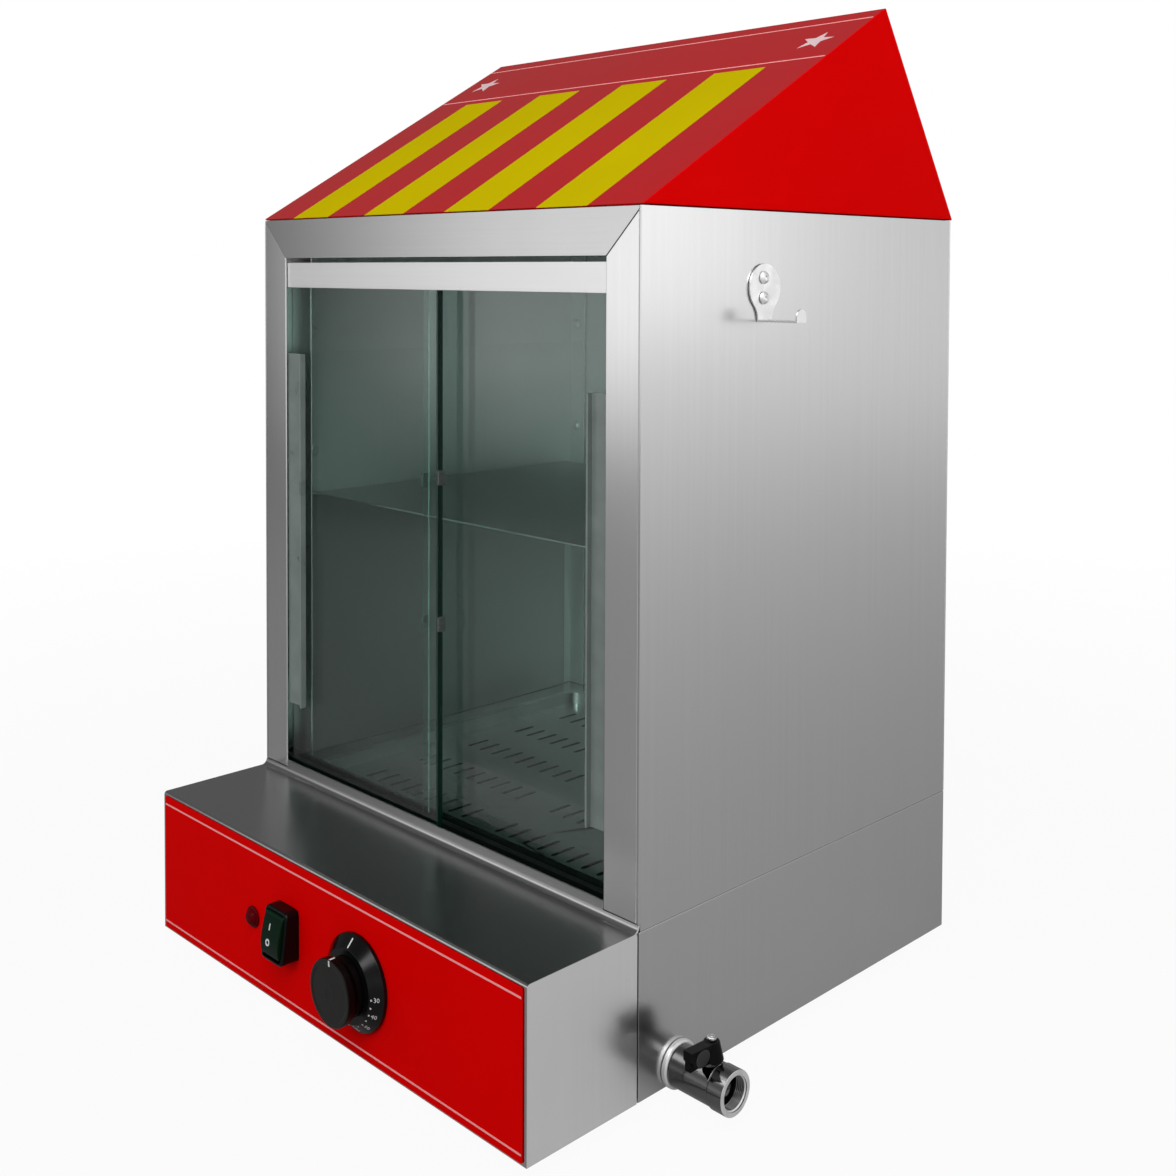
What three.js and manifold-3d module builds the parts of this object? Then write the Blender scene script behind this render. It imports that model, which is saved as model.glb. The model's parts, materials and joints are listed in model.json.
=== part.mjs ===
// Countertop hot dog steamer: a brushed steel cabinet with two sliding glass doors over a water tank,
// a control box in front, a red canopy roof and a drain valve on the right.
// Millimetres. X runs to the right, Y to the back and Z up, seen from in front of the controls.
// The casing is laid out from its front lower left corner, and the finished model is then moved
// so that its origin is the middle of the underside of its bounding box.

import * as THREE from "three";
import { mergeVertices } from "three/addons/utils/BufferGeometryUtils.js";
import Module from "manifold-3d";

const kernel = await Module();
kernel.setup();

// Casing
const bodyWidth = 360;
const bodyDepth = 376;
const controlBoxDepth = 79;
const baseHeight = 91;
const cabinetHeight = 381;
const sheet = 1.2;
const liningSheet = 1;
const seam = 0.3;
const skirtGap = 1;
const skirtReturn = 12;
const coveRadius = 4;
const frontBendRadius = 2;
const bottomRailFace = 5;
const overrun = 5;
const weldDistance = 0.001;

// Feet and bottom plate
const footRadius = 12;
const footTipRadius = 10.5;
const footHeight = 8;
const footInset = 35;
const ventLength = 26;
const ventWidth = 4;
const ventPitch = 12;
const ventCount = 9;

// Front frame
const frameFace = 26;
const mitreGap = 0.3;
const topReturn = 18;

// Door tracks and glass
const glassThickness = 5;
const grooveSlack = 0.5;
const trackWall = 1;
const trackDivider = 4.5;
const trackBase = 1.5;
const lowerTrackHeight = 7.2;
const headerHeight = 17;
const headerGap = 3;
const headerLap = 8;
const glassStop = 0.5;
const glassOverlap = 27;
const doorAjar = 12;
const bumperLength = 9;
const bumperThickness = 1.5;
const leftBumperHeight = 312;
const rightBumperHeight = 306.5;
const bumperSpacing = 89.5;

// Door handles
const handleWidth = 20;
const handleLeg = 1;
const handleFin = 4.5;
const handleFinThickness = 1.5;
const handleLength = 241;
const leftHandleInset = 22;
const rightHandleInset = 14.3;
const leftHandleBottom = 140;
const rightHandleBottom = 130.5;

// Cabinet panels and lining
const rearFlange = 17;
const topFlange = 12;
const liningScrewSetback = 38;
const liningScrewInset = 9.5;
const lowerScrewHeight = 309;
const upperScrewHeight = 394;
const screwHeadRadius = 4;
const screwHeadHeight = 2.4;
const screwShankRadius = 1;
const screwCrownShare = 0.6;
const rearScrewMargin = 30;
const rearScrewRows = 3;

// Shelf
const shelfTop = 279.5;
const shelfSheet = 1.2;
const shelfSetback = 36;
const shelfRearClearance = 8;

// Steam tray
const trayInset = 27.5;
const trayFront = 106;
const trayRearMargin = 23;
const trayRecess = 8;
const traySheet = 0.8;
const trayRim = 5;
const trayCorner = 8;
const slotLength = 20;
const slotWidth = 3;
const slotPitch = 13;
const slotRowPitch = 46.3;
const slotRows = 5;
const firstSlotRow = 137;
const leftSlotStart = 52;
const leftSlotCount = 9;
const rightSlotStart = 190;
const rightSlotCount = 10;

// Water tank
const tankClearance = 2;
const tankBottom = 26;
const tankFlange = 7;

// Heating element, level switch and thermostat bulb
const elementRadius = 4;
const elementBendRadius = 40;
const elementHeight = 44;
const elementLength = 190;
const elementCentre = 176;
const elementNutRadius = 9;
const elementNutThickness = 5;
const elementTail = 10;
const floatRadius = 9;
const floatLength = 24;
const floatStemRadius = 3;
const floatCentre = 90;
const floatHeight = 56;
const bulbRadius = 3;
const bulbLength = 90;
const capillaryRadius = 1;
const bulbCentre = 262;
const bulbHeight = 38;

// Drain and valve
const drainSetback = 110;
const drainHeight = 10;
const pipeRadius = 6;
const pipeBore = 4.4;
const pipeBendRadius = 11;
const drainInset = 44;
const drainOffset = 3;
const nutRadius = 13;
const nutThickness = 3.2;
const valveChamfer = 1;
const nippleReach = 10;
const valveRadius = 11.4;
const collarRadius = 12;
const collarLength = 9.5;
const valveLength = 37.2;
const outletRadius = 9.3;
const outletDepth = 7.4;
const waterwayRadius = 5;
const ballRadius = 9;
const stemSetback = 20.7;
const stemRadius = 2.5;
const stemTop = 19.5;
const stemBossRadius = 5.5;
const stemBossTop = 12.1;
const hubRadius = 6.6;
const hubTopRadius = 4.4;
const hubTop = 22;
const leverBottom = 12.4;
const leverReach = 19;
const leverThickness = 6.2;
const leverTipRise = 0.8;
const leverRecess = 1.2;
const leverPadDrop = 5;
const leverPadReach = 10;
const leverScrewRadius = 2.7;
const leverScrewHeight = 2;

// Tongs hook
const hookSetback = 179.5;
const hookBelowTop = 43.2;
const hookPlateRadius = 13.8;
const hookDrop = 18.2;
const hookRootHalfWidth = 6.3;
const hookTipHalfWidth = 4.4;
const hookReach = 27;
const hookTipHeight = 6.5;
const hookSheet = 1;
const hookScrewSpacing = 11.5;
const hookScrewOffset = 1.7;
const hookScrewHead = 3.6;
const hookScrewShank = 1.9;
const hookScrewHeight = 2;
const hookSocketRadius = 1;
const hookSocketDepth = 1;
const hookCrownShare = 0.24;
const hookNeckShare = 0.72;
const buttonHeadShares = [
  [1, 0.3],
  [0.85, 0.7],
  [0.5, 1],
];

// Roof
const roofRise = 129;
const roofApexSetback = 218;
const roofSheet = 1;
const roofOverhang = 0.8;
const roofFlange = 14;
const roofBend = 0.7;
const roofBendShare = 0.3;

// Control panel
const fasciaThickness = 0.4;
const fasciaMargin = 2.4;
const controlHeight = 43.8;
const dialHeight = 43;

const lampCentre = 112.5;
const lampRadius = 5.2;
const lampBezelRadius = 6.4;
const lampProjection = 4.5;
const lampBezelEdge = 1;
const lampBezelHeight = 1.6;
const lensShoulderShare = 0.5;
const lensCrownShare = 0.55;
const lampBarrelRadius = 4.6;
const lampBarrelLength = 22;

const switchCentre = 150.5;
const switchHeight = 48;
const switchWidth = 23;
const switchTall = 30.8;
const switchWall = 1.8;
const hoodTopProjection = 8.2;
const hoodBottomProjection = 10.6;
const hoodCorner = 2.5;
const rockerSlack = 0.45;
const rockerPivotDepth = 4.3;
const rockerCrown = 4.6;
const rockerValley = 2.8;
const rockerSkirt = 3;
const rockerTilt = 8;
const trunnionRadius = 1.2;
const trunnionReach = 0.9;
const switchBarrelLength = 20;
const switchTabLength = 8;
const switchTabWidth = 6.3;
const switchTabThickness = 0.8;

const dialCentre = 221.4;
const bezelRadius = 27;
const bezelRim = 2.4;
const bezelDepth = 8;
const bezelCrownRadius = 20.5;
const bezelBore = 8;
const knobRadius = 18.6;
const knobNeckRadius = 16.4;
const knobDepth = 11.4;
const knobEdge = 1.6;
const knobNeckShare = 0.35;
const knobShoulderShare = 0.62;
const knobPointer = 0.3;
const knobPointerWidth = 1.4;
const pointerFootShare = 0.6;
const pointerSinkShare = 0.75;
const spindleRadius = 3;
const spindleReach = 15;
const spindleSlack = 0.3;
const spindleFlat = 1.2;
const spindleSeat = 6;
const thermostatWidth = 36;
const thermostatHeight = 30;
const thermostatDepth = 28;

// Mains connection
const terminalWidth = 44;
const terminalDepth = 20;
const terminalHeight = 16;
const terminalWays = 4;
const terminalCentre = 60;
const glandCentre = 60;
const glandHeight = 46;
const glandNutRadius = 11;
const glandNutThickness = 5;
const glandDomeRadius = 9;
const glandLength = 20;
const glandBore = 4.5;
const glandLip = 1;
const glandDomeShare = 0.7;
const glandThread = 8;

// Places that follow from the sizes above
const halfTurn = Math.PI;
const quarterTurn = Math.PI / 2;
const cabinetTop = baseHeight + cabinetHeight;
const frontFace = controlBoxDepth;
const shellFace = fasciaThickness + seam;
const postFoot = baseHeight + coveRadius + seam;
const trackFront = frontFace + sheet + seam;
const grooveWidth = glassThickness + 2 * grooveSlack;
const trackDepth = 2 * trackWall + 2 * grooveWidth + trackDivider;
const trackRear = trackFront + trackDepth;
const outerPaneFront = trackFront + trackWall + grooveSlack;
const innerPaneFront = outerPaneFront + grooveWidth + trackDivider;
const postRear = trackRear + seam + sheet;
const panelInner = sheet + seam;
const sideFoot = baseHeight + seam;
const headerTop = cabinetTop - frameFace - headerGap;
const hookHeight = cabinetTop - hookBelowTop;
const glassBottom = baseHeight + trackBase + 2 * seam;
const glassTop = headerTop - headerHeight + headerLap;
const liningInner = panelInner + liningSheet;
const liningTop = cabinetTop - sheet - topFlange - seam;
const rearSheetFront = bodyDepth - sheet;
const sideFlangeFront = rearSheetFront - seam - sheet;
const liningFlangeFront = sideFlangeFront - seam - liningSheet;
const middle = bodyWidth / 2;
const trayRear = bodyDepth - trayRearMargin;
const trayFloor = baseHeight + seam - trayRecess;
const openingInset = trayInset - seam;
const tankInset = trayInset - tankClearance - liningSheet;
const tankFront = trayFront - tankClearance - liningSheet;
const tankRear = trayRear + tankClearance + liningSheet;
const tankTop = baseHeight - sheet - seam;
const outerPaneLeft = panelInner + sheet + seam + glassStop;
const glassWidth = (bodyWidth - 2 * outerPaneLeft - doorAjar + glassOverlap) / 2;
const innerPaneLeft = outerPaneLeft + glassWidth - glassOverlap;

// Finishes
const finishes = {
  brushedSteel: { color: 0xb9bab8, roughness: 0.38, metalness: 0.9 },
  polishedSteel: { color: 0xc6c9c8, roughness: 0.16, metalness: 0.95 },
  galvanised: { color: 0xa3a5a6, roughness: 0.5, metalness: 0.8 },
  redFascia: { color: 0xc00000, roughness: 0.4, metalness: 0 },
  redRoof: { color: 0xd80400, roughness: 0.3, metalness: 0 },
  glass: { color: 0x7f8f88, roughness: 0.05, metalness: 0, transparent: true, opacity: 0.45 },
  aluminium: { color: 0xa9aeac, roughness: 0.35, metalness: 0.8 },
  clearRubber: { color: 0xd9dcd8, roughness: 0.4, metalness: 0 },
  blackPlastic: { color: 0x141414, roughness: 0.35, metalness: 0 },
  blackRubber: { color: 0x1c1c1c, roughness: 0.8, metalness: 0 },
  greenPlastic: { color: 0x063d2c, roughness: 0.3, metalness: 0 },
  redLens: { color: 0x5c0a14, roughness: 0.15, metalness: 0 },
  chrome: { color: 0xd5d7d8, roughness: 0.1, metalness: 1 },
  whitePlastic: { color: 0xe8e6dc, roughness: 0.5, metalness: 0 },
  copper: { color: 0xb87345, roughness: 0.3, metalness: 1 },
};

// Solids

/** Turns a closed geometry into a solid that can be cut and joined. */
function toSolid(geometry) {
  const plain = geometry.index ? geometry.toNonIndexed() : geometry.clone();
  plain.deleteAttribute("normal");
  plain.deleteAttribute("uv");
  const merged = mergeVertices(plain, weldDistance);
  const vertProperties = merged.attributes.position.array;
  const triVerts = new Uint32Array(merged.index.array);
  return new kernel.Manifold(new kernel.Mesh({ numProp: 3, vertProperties, triVerts }));
}

/** Turns a solid back into a geometry. */
function toGeometry(solid) {
  const mesh = solid.getMesh();
  const geometry = new THREE.BufferGeometry();
  geometry.setAttribute("position", new THREE.BufferAttribute(mesh.vertProperties.slice(), 3));
  geometry.setIndex(new THREE.BufferAttribute(mesh.triVerts.slice(), 1));
  const faceted = geometry.toNonIndexed();
  faceted.computeVertexNormals();
  return faceted;
}

const join = (first, ...others) => others.reduce((whole, solid) => whole.add(solid), first);
const cut = (first, ...others) => others.reduce((whole, solid) => whole.subtract(solid), first);

/** A block between two corners. */
function block(x0, x1, y0, y1, z0, z1) {
  const geometry = new THREE.BoxGeometry(x1 - x0, y1 - y0, z1 - z0);
  geometry.translate((x0 + x1) / 2, (y0 + y1) / 2, (z0 + z1) / 2);
  return toSolid(geometry);
}

const unitX = new THREE.Vector3(1, 0, 0);
const unitY = new THREE.Vector3(0, 1, 0);
const unitZ = new THREE.Vector3(0, 0, 1);
const back = unitY;
const forward = unitY.clone().negate();
const right = unitX;
const up = unitZ;

/**
 * An outline drawn square to an axis and run along it between two places.
 * Its points are [y, z] along x, [x, z] along y and [x, y] along z.
 */
function prism(axis, points, from, to) {
  const shape = new THREE.Shape(points.map(([u, v]) => new THREE.Vector2(u, v)));
  const geometry = new THREE.ExtrudeGeometry(shape, { depth: to - from, bevelEnabled: false });
  const basis = new THREE.Matrix4();
  if (axis === "x") basis.makeBasis(unitY, unitZ, unitX).setPosition(from, 0, 0);
  if (axis === "y") basis.makeBasis(unitX, unitZ, forward).setPosition(0, to, 0);
  if (axis === "z") basis.setPosition(0, 0, from);
  geometry.applyMatrix4(basis);
  return toSolid(geometry);
}

/** A profile of [radius, height] points turned about an axis that starts at a place. */
function turned(direction, profile, sides, x = 0, y = 0, z = 0) {
  const points = profile.map(([radius, height]) => new THREE.Vector2(radius, height));
  const geometry = new THREE.LatheGeometry(points, sides);
  geometry.applyQuaternion(new THREE.Quaternion().setFromUnitVectors(unitY, direction));
  geometry.translate(x, y, z);
  return toSolid(geometry);
}

/** A round bar from a place along a direction. */
function rod(direction, radius, length, sides, x = 0, y = 0, z = 0) {
  return turned(direction, [[0, 0], [radius, 0], [radius, length], [0, length]], sides, x, y, z);
}

/** A round tube that follows a path. */
function tube(path, radius, sides, steps) {
  const circle = arc(0, 0, radius, 0, 2 * halfTurn, sides).slice(1);
  const ring = new THREE.Shape(circle.map(([u, v]) => new THREE.Vector2(u, v)));
  return toSolid(new THREE.ExtrudeGeometry(ring, { extrudePath: path, steps, bevelEnabled: false }));
}

/** Points along a circular arc, both ends included. */
function arc(u, v, radius, from, to, steps) {
  const points = [];
  for (let i = 0; i <= steps; i++) {
    const angle = from + ((to - from) * i) / steps;
    points.push([u + radius * Math.cos(angle), v + radius * Math.sin(angle)]);
  }
  return points;
}

/** The outline of a rectangle with rounded corners. */
function roundedRectangle(u0, u1, v0, v1, radius, steps) {
  return [
    ...arc(u1 - radius, v0 + radius, radius, -quarterTurn, 0, steps),
    ...arc(u1 - radius, v1 - radius, radius, 0, quarterTurn, steps),
    ...arc(u0 + radius, v1 - radius, radius, quarterTurn, halfTurn, steps),
    ...arc(u0 + radius, v0 + radius, radius, halfTurn, halfTurn + quarterTurn, steps),
  ];
}

/** An outline of [u, v] points with an arc of one radius at each corner. */
function rounded(points, radius, steps) {
  const corners = points.map(([u, v]) => new THREE.Vector2(u, v));
  return corners.flatMap((corner, i) => {
    const before = corners[(i + corners.length - 1) % corners.length].clone().sub(corner).normalize();
    const after = corners[(i + 1) % corners.length].clone().sub(corner).normalize();
    const half = Math.acos(before.dot(after)) / 2;
    const bisector = before.clone().add(after).normalize();
    const centre = corner.clone().addScaledVector(bisector, radius / Math.sin(half));
    const start = corner.clone().addScaledVector(before, radius / Math.tan(half)).sub(centre).angle();
    const end = corner.clone().addScaledVector(after, radius / Math.tan(half)).sub(centre).angle();
    const sweep = ((end - start + 3 * halfTurn) % (2 * halfTurn)) - halfTurn;
    return arc(centre.x, centre.y, radius, start, start + sweep, steps);
  });
}

/** A named mesh with its own material. */
function piece(name, solid, finish) {
  const mesh = new THREE.Mesh(toGeometry(solid), new THREE.MeshStandardMaterial(finish));
  mesh.name = name;
  return mesh;
}

/** A group that holds pieces and stands at a place. */
function assembly(pieces, x = 0, y = 0, z = 0) {
  const group = new THREE.Group();
  group.add(...pieces);
  group.position.set(x, y, z);
  return group;
}

/** The same solid on the other side of the casing's middle plane. */
const mirrored = (solid) => solid.mirror([1, 0, 0]).translate([bodyWidth, 0, 0]);

/** A pan head screw whose head stands on a face and whose shank goes back into it. */
function screw(direction, headRadius, headHeight, shankRadius, shankLength, x, y, z) {
  const profile = [
    [0, -shankLength],
    [shankRadius, -shankLength],
    [shankRadius, 0],
    [headRadius, 0],
    [headRadius, headHeight / 2],
    [headRadius * screwCrownShare, headHeight],
    [0, headHeight],
  ];
  return turned(direction, profile, 12, x, y, z);
}

// Base

/** The skirt and deck under the cabinet, open in front, with the tank opening in its deck. */
function baseShell() {
  const front = frontFace + skirtGap / 2;
  const open = front - overrun;
  const margin = sheet + skirtReturn;
  const outer = block(0, bodyWidth, front, bodyDepth, 0, baseHeight);
  const inner = block(sheet, bodyWidth - sheet, open, bodyDepth - sheet, -overrun, baseHeight - sheet);
  const returns = cut(
    block(sheet / 2, bodyWidth - sheet / 2, front, bodyDepth - sheet / 2, 0, sheet),
    block(margin, bodyWidth - margin, open, bodyDepth - margin, -overrun, sheet + overrun),
  );
  const opening = prism(
    "z",
    roundedRectangle(
      openingInset,
      bodyWidth - openingInset,
      trayFront - seam,
      trayRear + seam,
      trayCorner,
      4,
    ),
    baseHeight - sheet - overrun,
    baseHeight + overrun,
  );
  const drill = sheet + 2 * overrun;
  const valveStart = bodyWidth - sheet - overrun;
  const glandStart = bodyDepth - sheet - overrun;
  const valveHole = rod(right, pipeRadius + 2 * seam, drill, 24, valveStart, drainSetback, drainHeight);
  const glandHole = rod(back, glandThread + seam, drill, 24, glandCentre, glandStart, glandHeight);
  return cut(join(cut(outer, inner), returns), opening, valveHole, glandHole);
}

/** The control box: front, sides and top from one sheet, turned up behind into the frame's lower rail. */
function controlBoxShell() {
  const top = baseHeight;
  const cove = frontFace - coveRadius;
  const coveTop = top + coveRadius;
  const bendY = shellFace + frontBendRadius;
  const bendZ = top - frontBendRadius;
  const profile = [
    [shellFace, 0],
    [shellFace + sheet, 0],
    ...arc(bendY, bendZ, frontBendRadius - sheet, halfTurn, quarterTurn, 4),
    ...arc(cove, coveTop, coveRadius + sheet, -quarterTurn, 0, 6),
    ...arc(cove, coveTop, coveRadius, 0, -quarterTurn, 6),
    ...arc(bendY, bendZ, frontBendRadius, quarterTurn, halfTurn, 4),
  ];
  const fullWidth = prism("x", profile, 0, bodyWidth);
  const rail = block(
    frameFace + seam,
    bodyWidth - frameFace - seam,
    frontFace,
    frontFace + sheet,
    coveTop - seam,
    coveTop + bottomRailFace,
  );
  const sideOutline = [
    [shellFace + sheet / 2, 0],
    [frontFace - skirtGap / 2, 0],
    [frontFace - skirtGap / 2, top - sheet / 2],
    [bendY, top - sheet / 2],
    [shellFace + sheet / 2, bendZ],
  ];
  const side = prism("x", sideOutline, 0, sheet);
  const lowerReturn = block(
    sheet / 2,
    bodyWidth - sheet / 2,
    shellFace + sheet / 2,
    shellFace + sheet + skirtReturn,
    0,
    sheet,
  );
  const start = shellFace - overrun;
  const drill = sheet + 2 * overrun;
  const lampHole = rod(back, lampBarrelRadius + seam, drill, 24, lampCentre, start, controlHeight);
  const shaftHole = rod(back, bezelBore, drill, 24, dialCentre, start, dialHeight);
  return cut(join(fullWidth, rail, side, mirrored(side), lowerReturn), lampHole, shaftHole, switchCutout());
}

/** The space that the switch barrel takes through the front of the control box. */
function switchCutout() {
  const halfWidth = (switchWidth - switchWall) / 2 + seam;
  const halfTall = (switchTall - switchWall) / 2 + seam;
  return block(
    switchCentre - halfWidth,
    switchCentre + halfWidth,
    -overrun,
    shellFace + sheet + overrun,
    switchHeight - halfTall,
    switchHeight + halfTall,
  );
}

/** The plate that closes the underside, with two rows of vents. */
function bottomPlate() {
  const plate = block(
    sheet + seam,
    bodyWidth - sheet - seam,
    shellFace + sheet + seam,
    bodyDepth - sheet - seam,
    sheet + seam,
    2 * sheet + seam,
  );
  const row = (y) => {
    const first = middle - ((ventCount - 1) * ventPitch) / 2;
    return Array.from({ length: ventCount }, (_, i) => {
      const x = first + i * ventPitch;
      const half = ventWidth / 2;
      const outline = roundedRectangle(x - half, x + half, y, y + ventLength, half - seam, 1);
      return prism("z", outline, -overrun, 2 * sheet + overrun);
    });
  };
  return cut(plate, ...row(frontFace / 2 - ventLength / 2), ...row(bodyDepth - footInset - ventLength));
}

/** One moulded foot, its top against the bottom plate. */
function foot() {
  const top = footHeight + sheet;
  const profile = [
    [0, 0],
    [footTipRadius, 0],
    [footRadius, footHeight / 4],
    [footRadius, top - footHeight / 4],
    [footTipRadius, top],
    [0, top],
  ];
  return turned(up, profile, 16);
}

function base() {
  const pieces = [
    piece("base_shell", baseShell(), finishes.brushedSteel),
    piece("control_box_shell", controlBoxShell(), finishes.brushedSteel),
    piece("bottom_plate", bottomPlate(), finishes.galvanised),
  ];
  const places = {
    front_left_foot: [footInset, footInset],
    front_right_foot: [bodyWidth - footInset, footInset],
    rear_left_foot: [footInset, bodyDepth - footInset],
    rear_right_foot: [bodyWidth - footInset, bodyDepth - footInset],
  };
  for (const [name, [x, y]] of Object.entries(places)) {
    const mesh = piece(name, foot(), finishes.blackRubber);
    mesh.position.set(x, y, -footHeight);
    pieces.push(mesh);
  }
  return assembly(pieces);
}

// Cabinet

/** The left side panel, with a rear flange behind which the rear panel lies. */
function sidePanel() {
  const rear = sideFlangeFront + sheet;
  const wall = prism(
    "x",
    [
      [frontFace, postFoot],
      [trackFront, postFoot],
      [trackFront, sideFoot],
      [rear, sideFoot],
      [rear, cabinetTop],
      [frontFace, cabinetTop],
    ],
    0,
    sheet,
  );
  const flange = block(
    sheet / 2,
    sheet + rearFlange,
    sideFlangeFront,
    rear,
    sideFoot,
    liningTop,
  );
  return join(wall, flange);
}

/** The holes that the tongs hook is screwed through, from a place in front of its disc's centre. */
function hookScrewHoles(x, y, z) {
  return [hookScrewSpacing / 2, -hookScrewSpacing / 2].map((rise) =>
    rod(right, hookScrewShank + seam, 2 * overrun, 12, x - overrun, y - hookScrewOffset, z + rise),
  );
}

/** A screw of the cabinet's own kind, its shank ending inside the sheet that it holds. */
function sheetScrew(direction, thickness, x, y, z) {
  return screw(direction, screwHeadRadius, screwHeadHeight, screwShankRadius, thickness / 2, x, y, z);
}

/** The rear panel with its row of screws down each edge. */
function rearPanel() {
  const panel = block(0, bodyWidth, rearSheetFront, bodyDepth, baseHeight + seam, cabinetTop);
  const screws = [];
  for (let row = 0; row < rearScrewRows; row++) {
    const span = cabinetHeight - 2 * rearScrewMargin;
    const z = baseHeight + rearScrewMargin + (span * row) / (rearScrewRows - 1);
    for (const x of [liningScrewInset, bodyWidth - liningScrewInset]) {
      screws.push(sheetScrew(back, sheet, x, bodyDepth, z));
    }
  }
  return join(panel, ...screws);
}

/** The cabinet's top sheet with a flange turned down along each side. */
function cabinetTopPanel() {
  const front = frontFace + topReturn + seam;
  const rear = rearSheetFront - seam;
  const top = block(panelInner, bodyWidth - panelInner, front, rear, cabinetTop - sheet, cabinetTop);
  const flange = block(
    panelInner,
    panelInner + sheet,
    postRear + seam,
    rear,
    cabinetTop - sheet - topFlange,
    cabinetTop - sheet / 2,
  );
  return join(top, flange, mirrored(flange));
}

/** The left lining sheet with its screws: two into the wall in front and two into the rear flange. */
function lining() {
  const foot = baseHeight + seam;
  const rear = liningFlangeFront + liningSheet;
  const wall = block(panelInner, liningInner, postRear + seam, rear, foot, liningTop);
  const flange = block(panelInner, sheet + rearFlange, liningFlangeFront, rear, foot, liningTop);
  const screws = [lowerScrewHeight, upperScrewHeight].flatMap((z) => [
    sheetScrew(right, liningSheet, liningInner, frontFace + liningScrewSetback, z),
    sheetScrew(forward, liningSheet, liningScrewInset, liningFlangeFront, z),
  ]);
  return join(wall, flange, ...screws);
}

/** A front post: a channel that the glass slides into, its face mitred at the top. */
function framePost() {
  const corner = cabinetTop - frameFace;
  const outer = corner + frameFace - panelInner - mitreGap;
  const face = prism(
    "y",
    [
      [panelInner, postFoot],
      [frameFace, postFoot],
      [frameFace, corner - mitreGap],
      [panelInner, outer],
    ],
    frontFace,
    frontFace + sheet,
  );
  const web = block(panelInner, panelInner + sheet, frontFace + sheet / 2, postRear, postFoot, liningTop);
  const rear = block(panelInner, frameFace, postRear - sheet, postRear, postFoot, liningTop);
  return join(face, web, rear);
}

/** The top rail: a mitred face with a return that lies level with the cabinet's top sheet. */
function frameTopRail() {
  const lower = cabinetTop - frameFace;
  const shoulder = lower + frameFace - panelInner;
  const face = prism(
    "y",
    [
      [panelInner, cabinetTop],
      [panelInner, shoulder],
      [frameFace, lower],
      [bodyWidth - frameFace, lower],
      [bodyWidth - panelInner, shoulder],
      [bodyWidth - panelInner, cabinetTop],
    ],
    frontFace,
    frontFace + sheet,
  );
  const topReturnSheet = block(
    panelInner,
    bodyWidth - panelInner,
    frontFace + sheet / 2,
    frontFace + topReturn,
    cabinetTop - sheet,
    cabinetTop,
  );
  return join(face, topReturnSheet);
}

/** A two-groove track's section as a solid between two heights, its grooves open on one side. */
function doorTrack(floor, rim) {
  const length = [panelInner + sheet + seam, bodyWidth - panelInner - sheet - seam];
  const body = block(...length, trackFront, trackRear, Math.min(floor, rim), Math.max(floor, rim));
  const grooveEnd = floor + Math.sign(rim - floor) * trackBase;
  const mouth = rim + Math.sign(rim - floor) * overrun;
  const grooves = [outerPaneFront, innerPaneFront].map((front) =>
    block(
      length[0] - overrun,
      length[1] + overrun,
      front - grooveSlack,
      front + glassThickness + grooveSlack,
      Math.min(grooveEnd, mouth),
      Math.max(grooveEnd, mouth),
    ),
  );
  return cut(body, ...grooves);
}

function cabinet() {
  const rightPanel = cut(mirrored(sidePanel()), ...hookScrewHoles(bodyWidth, hookSetback, hookHeight));
  const trackFoot = baseHeight + seam;
  return assembly([
    piece("left_side_panel", sidePanel(), finishes.brushedSteel),
    piece("right_side_panel", rightPanel, finishes.brushedSteel),
    piece("rear_panel", rearPanel(), finishes.brushedSteel),
    piece("cabinet_top_panel", cabinetTopPanel(), finishes.brushedSteel),
    piece("left_lining", lining(), finishes.polishedSteel),
    piece("right_lining", mirrored(lining()), finishes.polishedSteel),
    piece("left_frame_post", framePost(), finishes.brushedSteel),
    piece("right_frame_post", mirrored(framePost()), finishes.brushedSteel),
    piece("top_frame_rail", frameTopRail(), finishes.brushedSteel),
    piece("lower_door_track", doorTrack(trackFoot, trackFoot + lowerTrackHeight), finishes.blackPlastic),
    piece("door_header", doorTrack(headerTop, headerTop - headerHeight), finishes.brushedSteel),
  ]);
}

// Doors

/** A glass pane with its corner at the group's origin. */
const pane = () => block(0, glassWidth, 0, glassThickness, 0, glassTop - glassBottom);

/** A handle strip: a flat leg on the glass and a fin to pull by along one edge. */
function handle() {
  const leg = block(0, handleWidth, -handleLeg, -seam / 3, 0, handleLength);
  const fin = block(handleWidth - handleFinThickness, handleWidth, -handleFin, -seam / 3, 0, handleLength);
  return join(leg, fin);
}

/** A clear bumper on the edge of a pane that meets its stop. */
function bumper() {
  const outline = roundedRectangle(0, bumperLength, 0, glassThickness, bumperThickness / 2, 2);
  const points = outline.map(([along, across]) => [across, along]);
  return prism("x", points.reverse(), 0, bumperThickness);
}

/** One sliding door: its glass, its handle on the front and two bumpers on its inner edge. */
function door(side, innerEdge, handleLeft, handleBottom, handleSolid, bumperHeight) {
  const glass = piece(side + "_door_glass", pane(), finishes.glass);
  const strip = piece(side + "_door_handle", handleSolid, finishes.aluminium);
  strip.position.set(handleLeft, 0, handleBottom - glassBottom);
  const pieces = [glass, strip];
  ["upper", "lower"].forEach((level, i) => {
    const mesh = piece(side + "_door_" + level + "_bumper", bumper(), finishes.clearRubber);
    const outward = innerEdge > 0 ? seam : -seam - bumperThickness;
    const middleHeight = bumperHeight - i * bumperSpacing;
    mesh.position.set(innerEdge + outward, 0, middleHeight - bumperLength / 2 - glassBottom);
    pieces.push(mesh);
  });
  return pieces;
}

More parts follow.
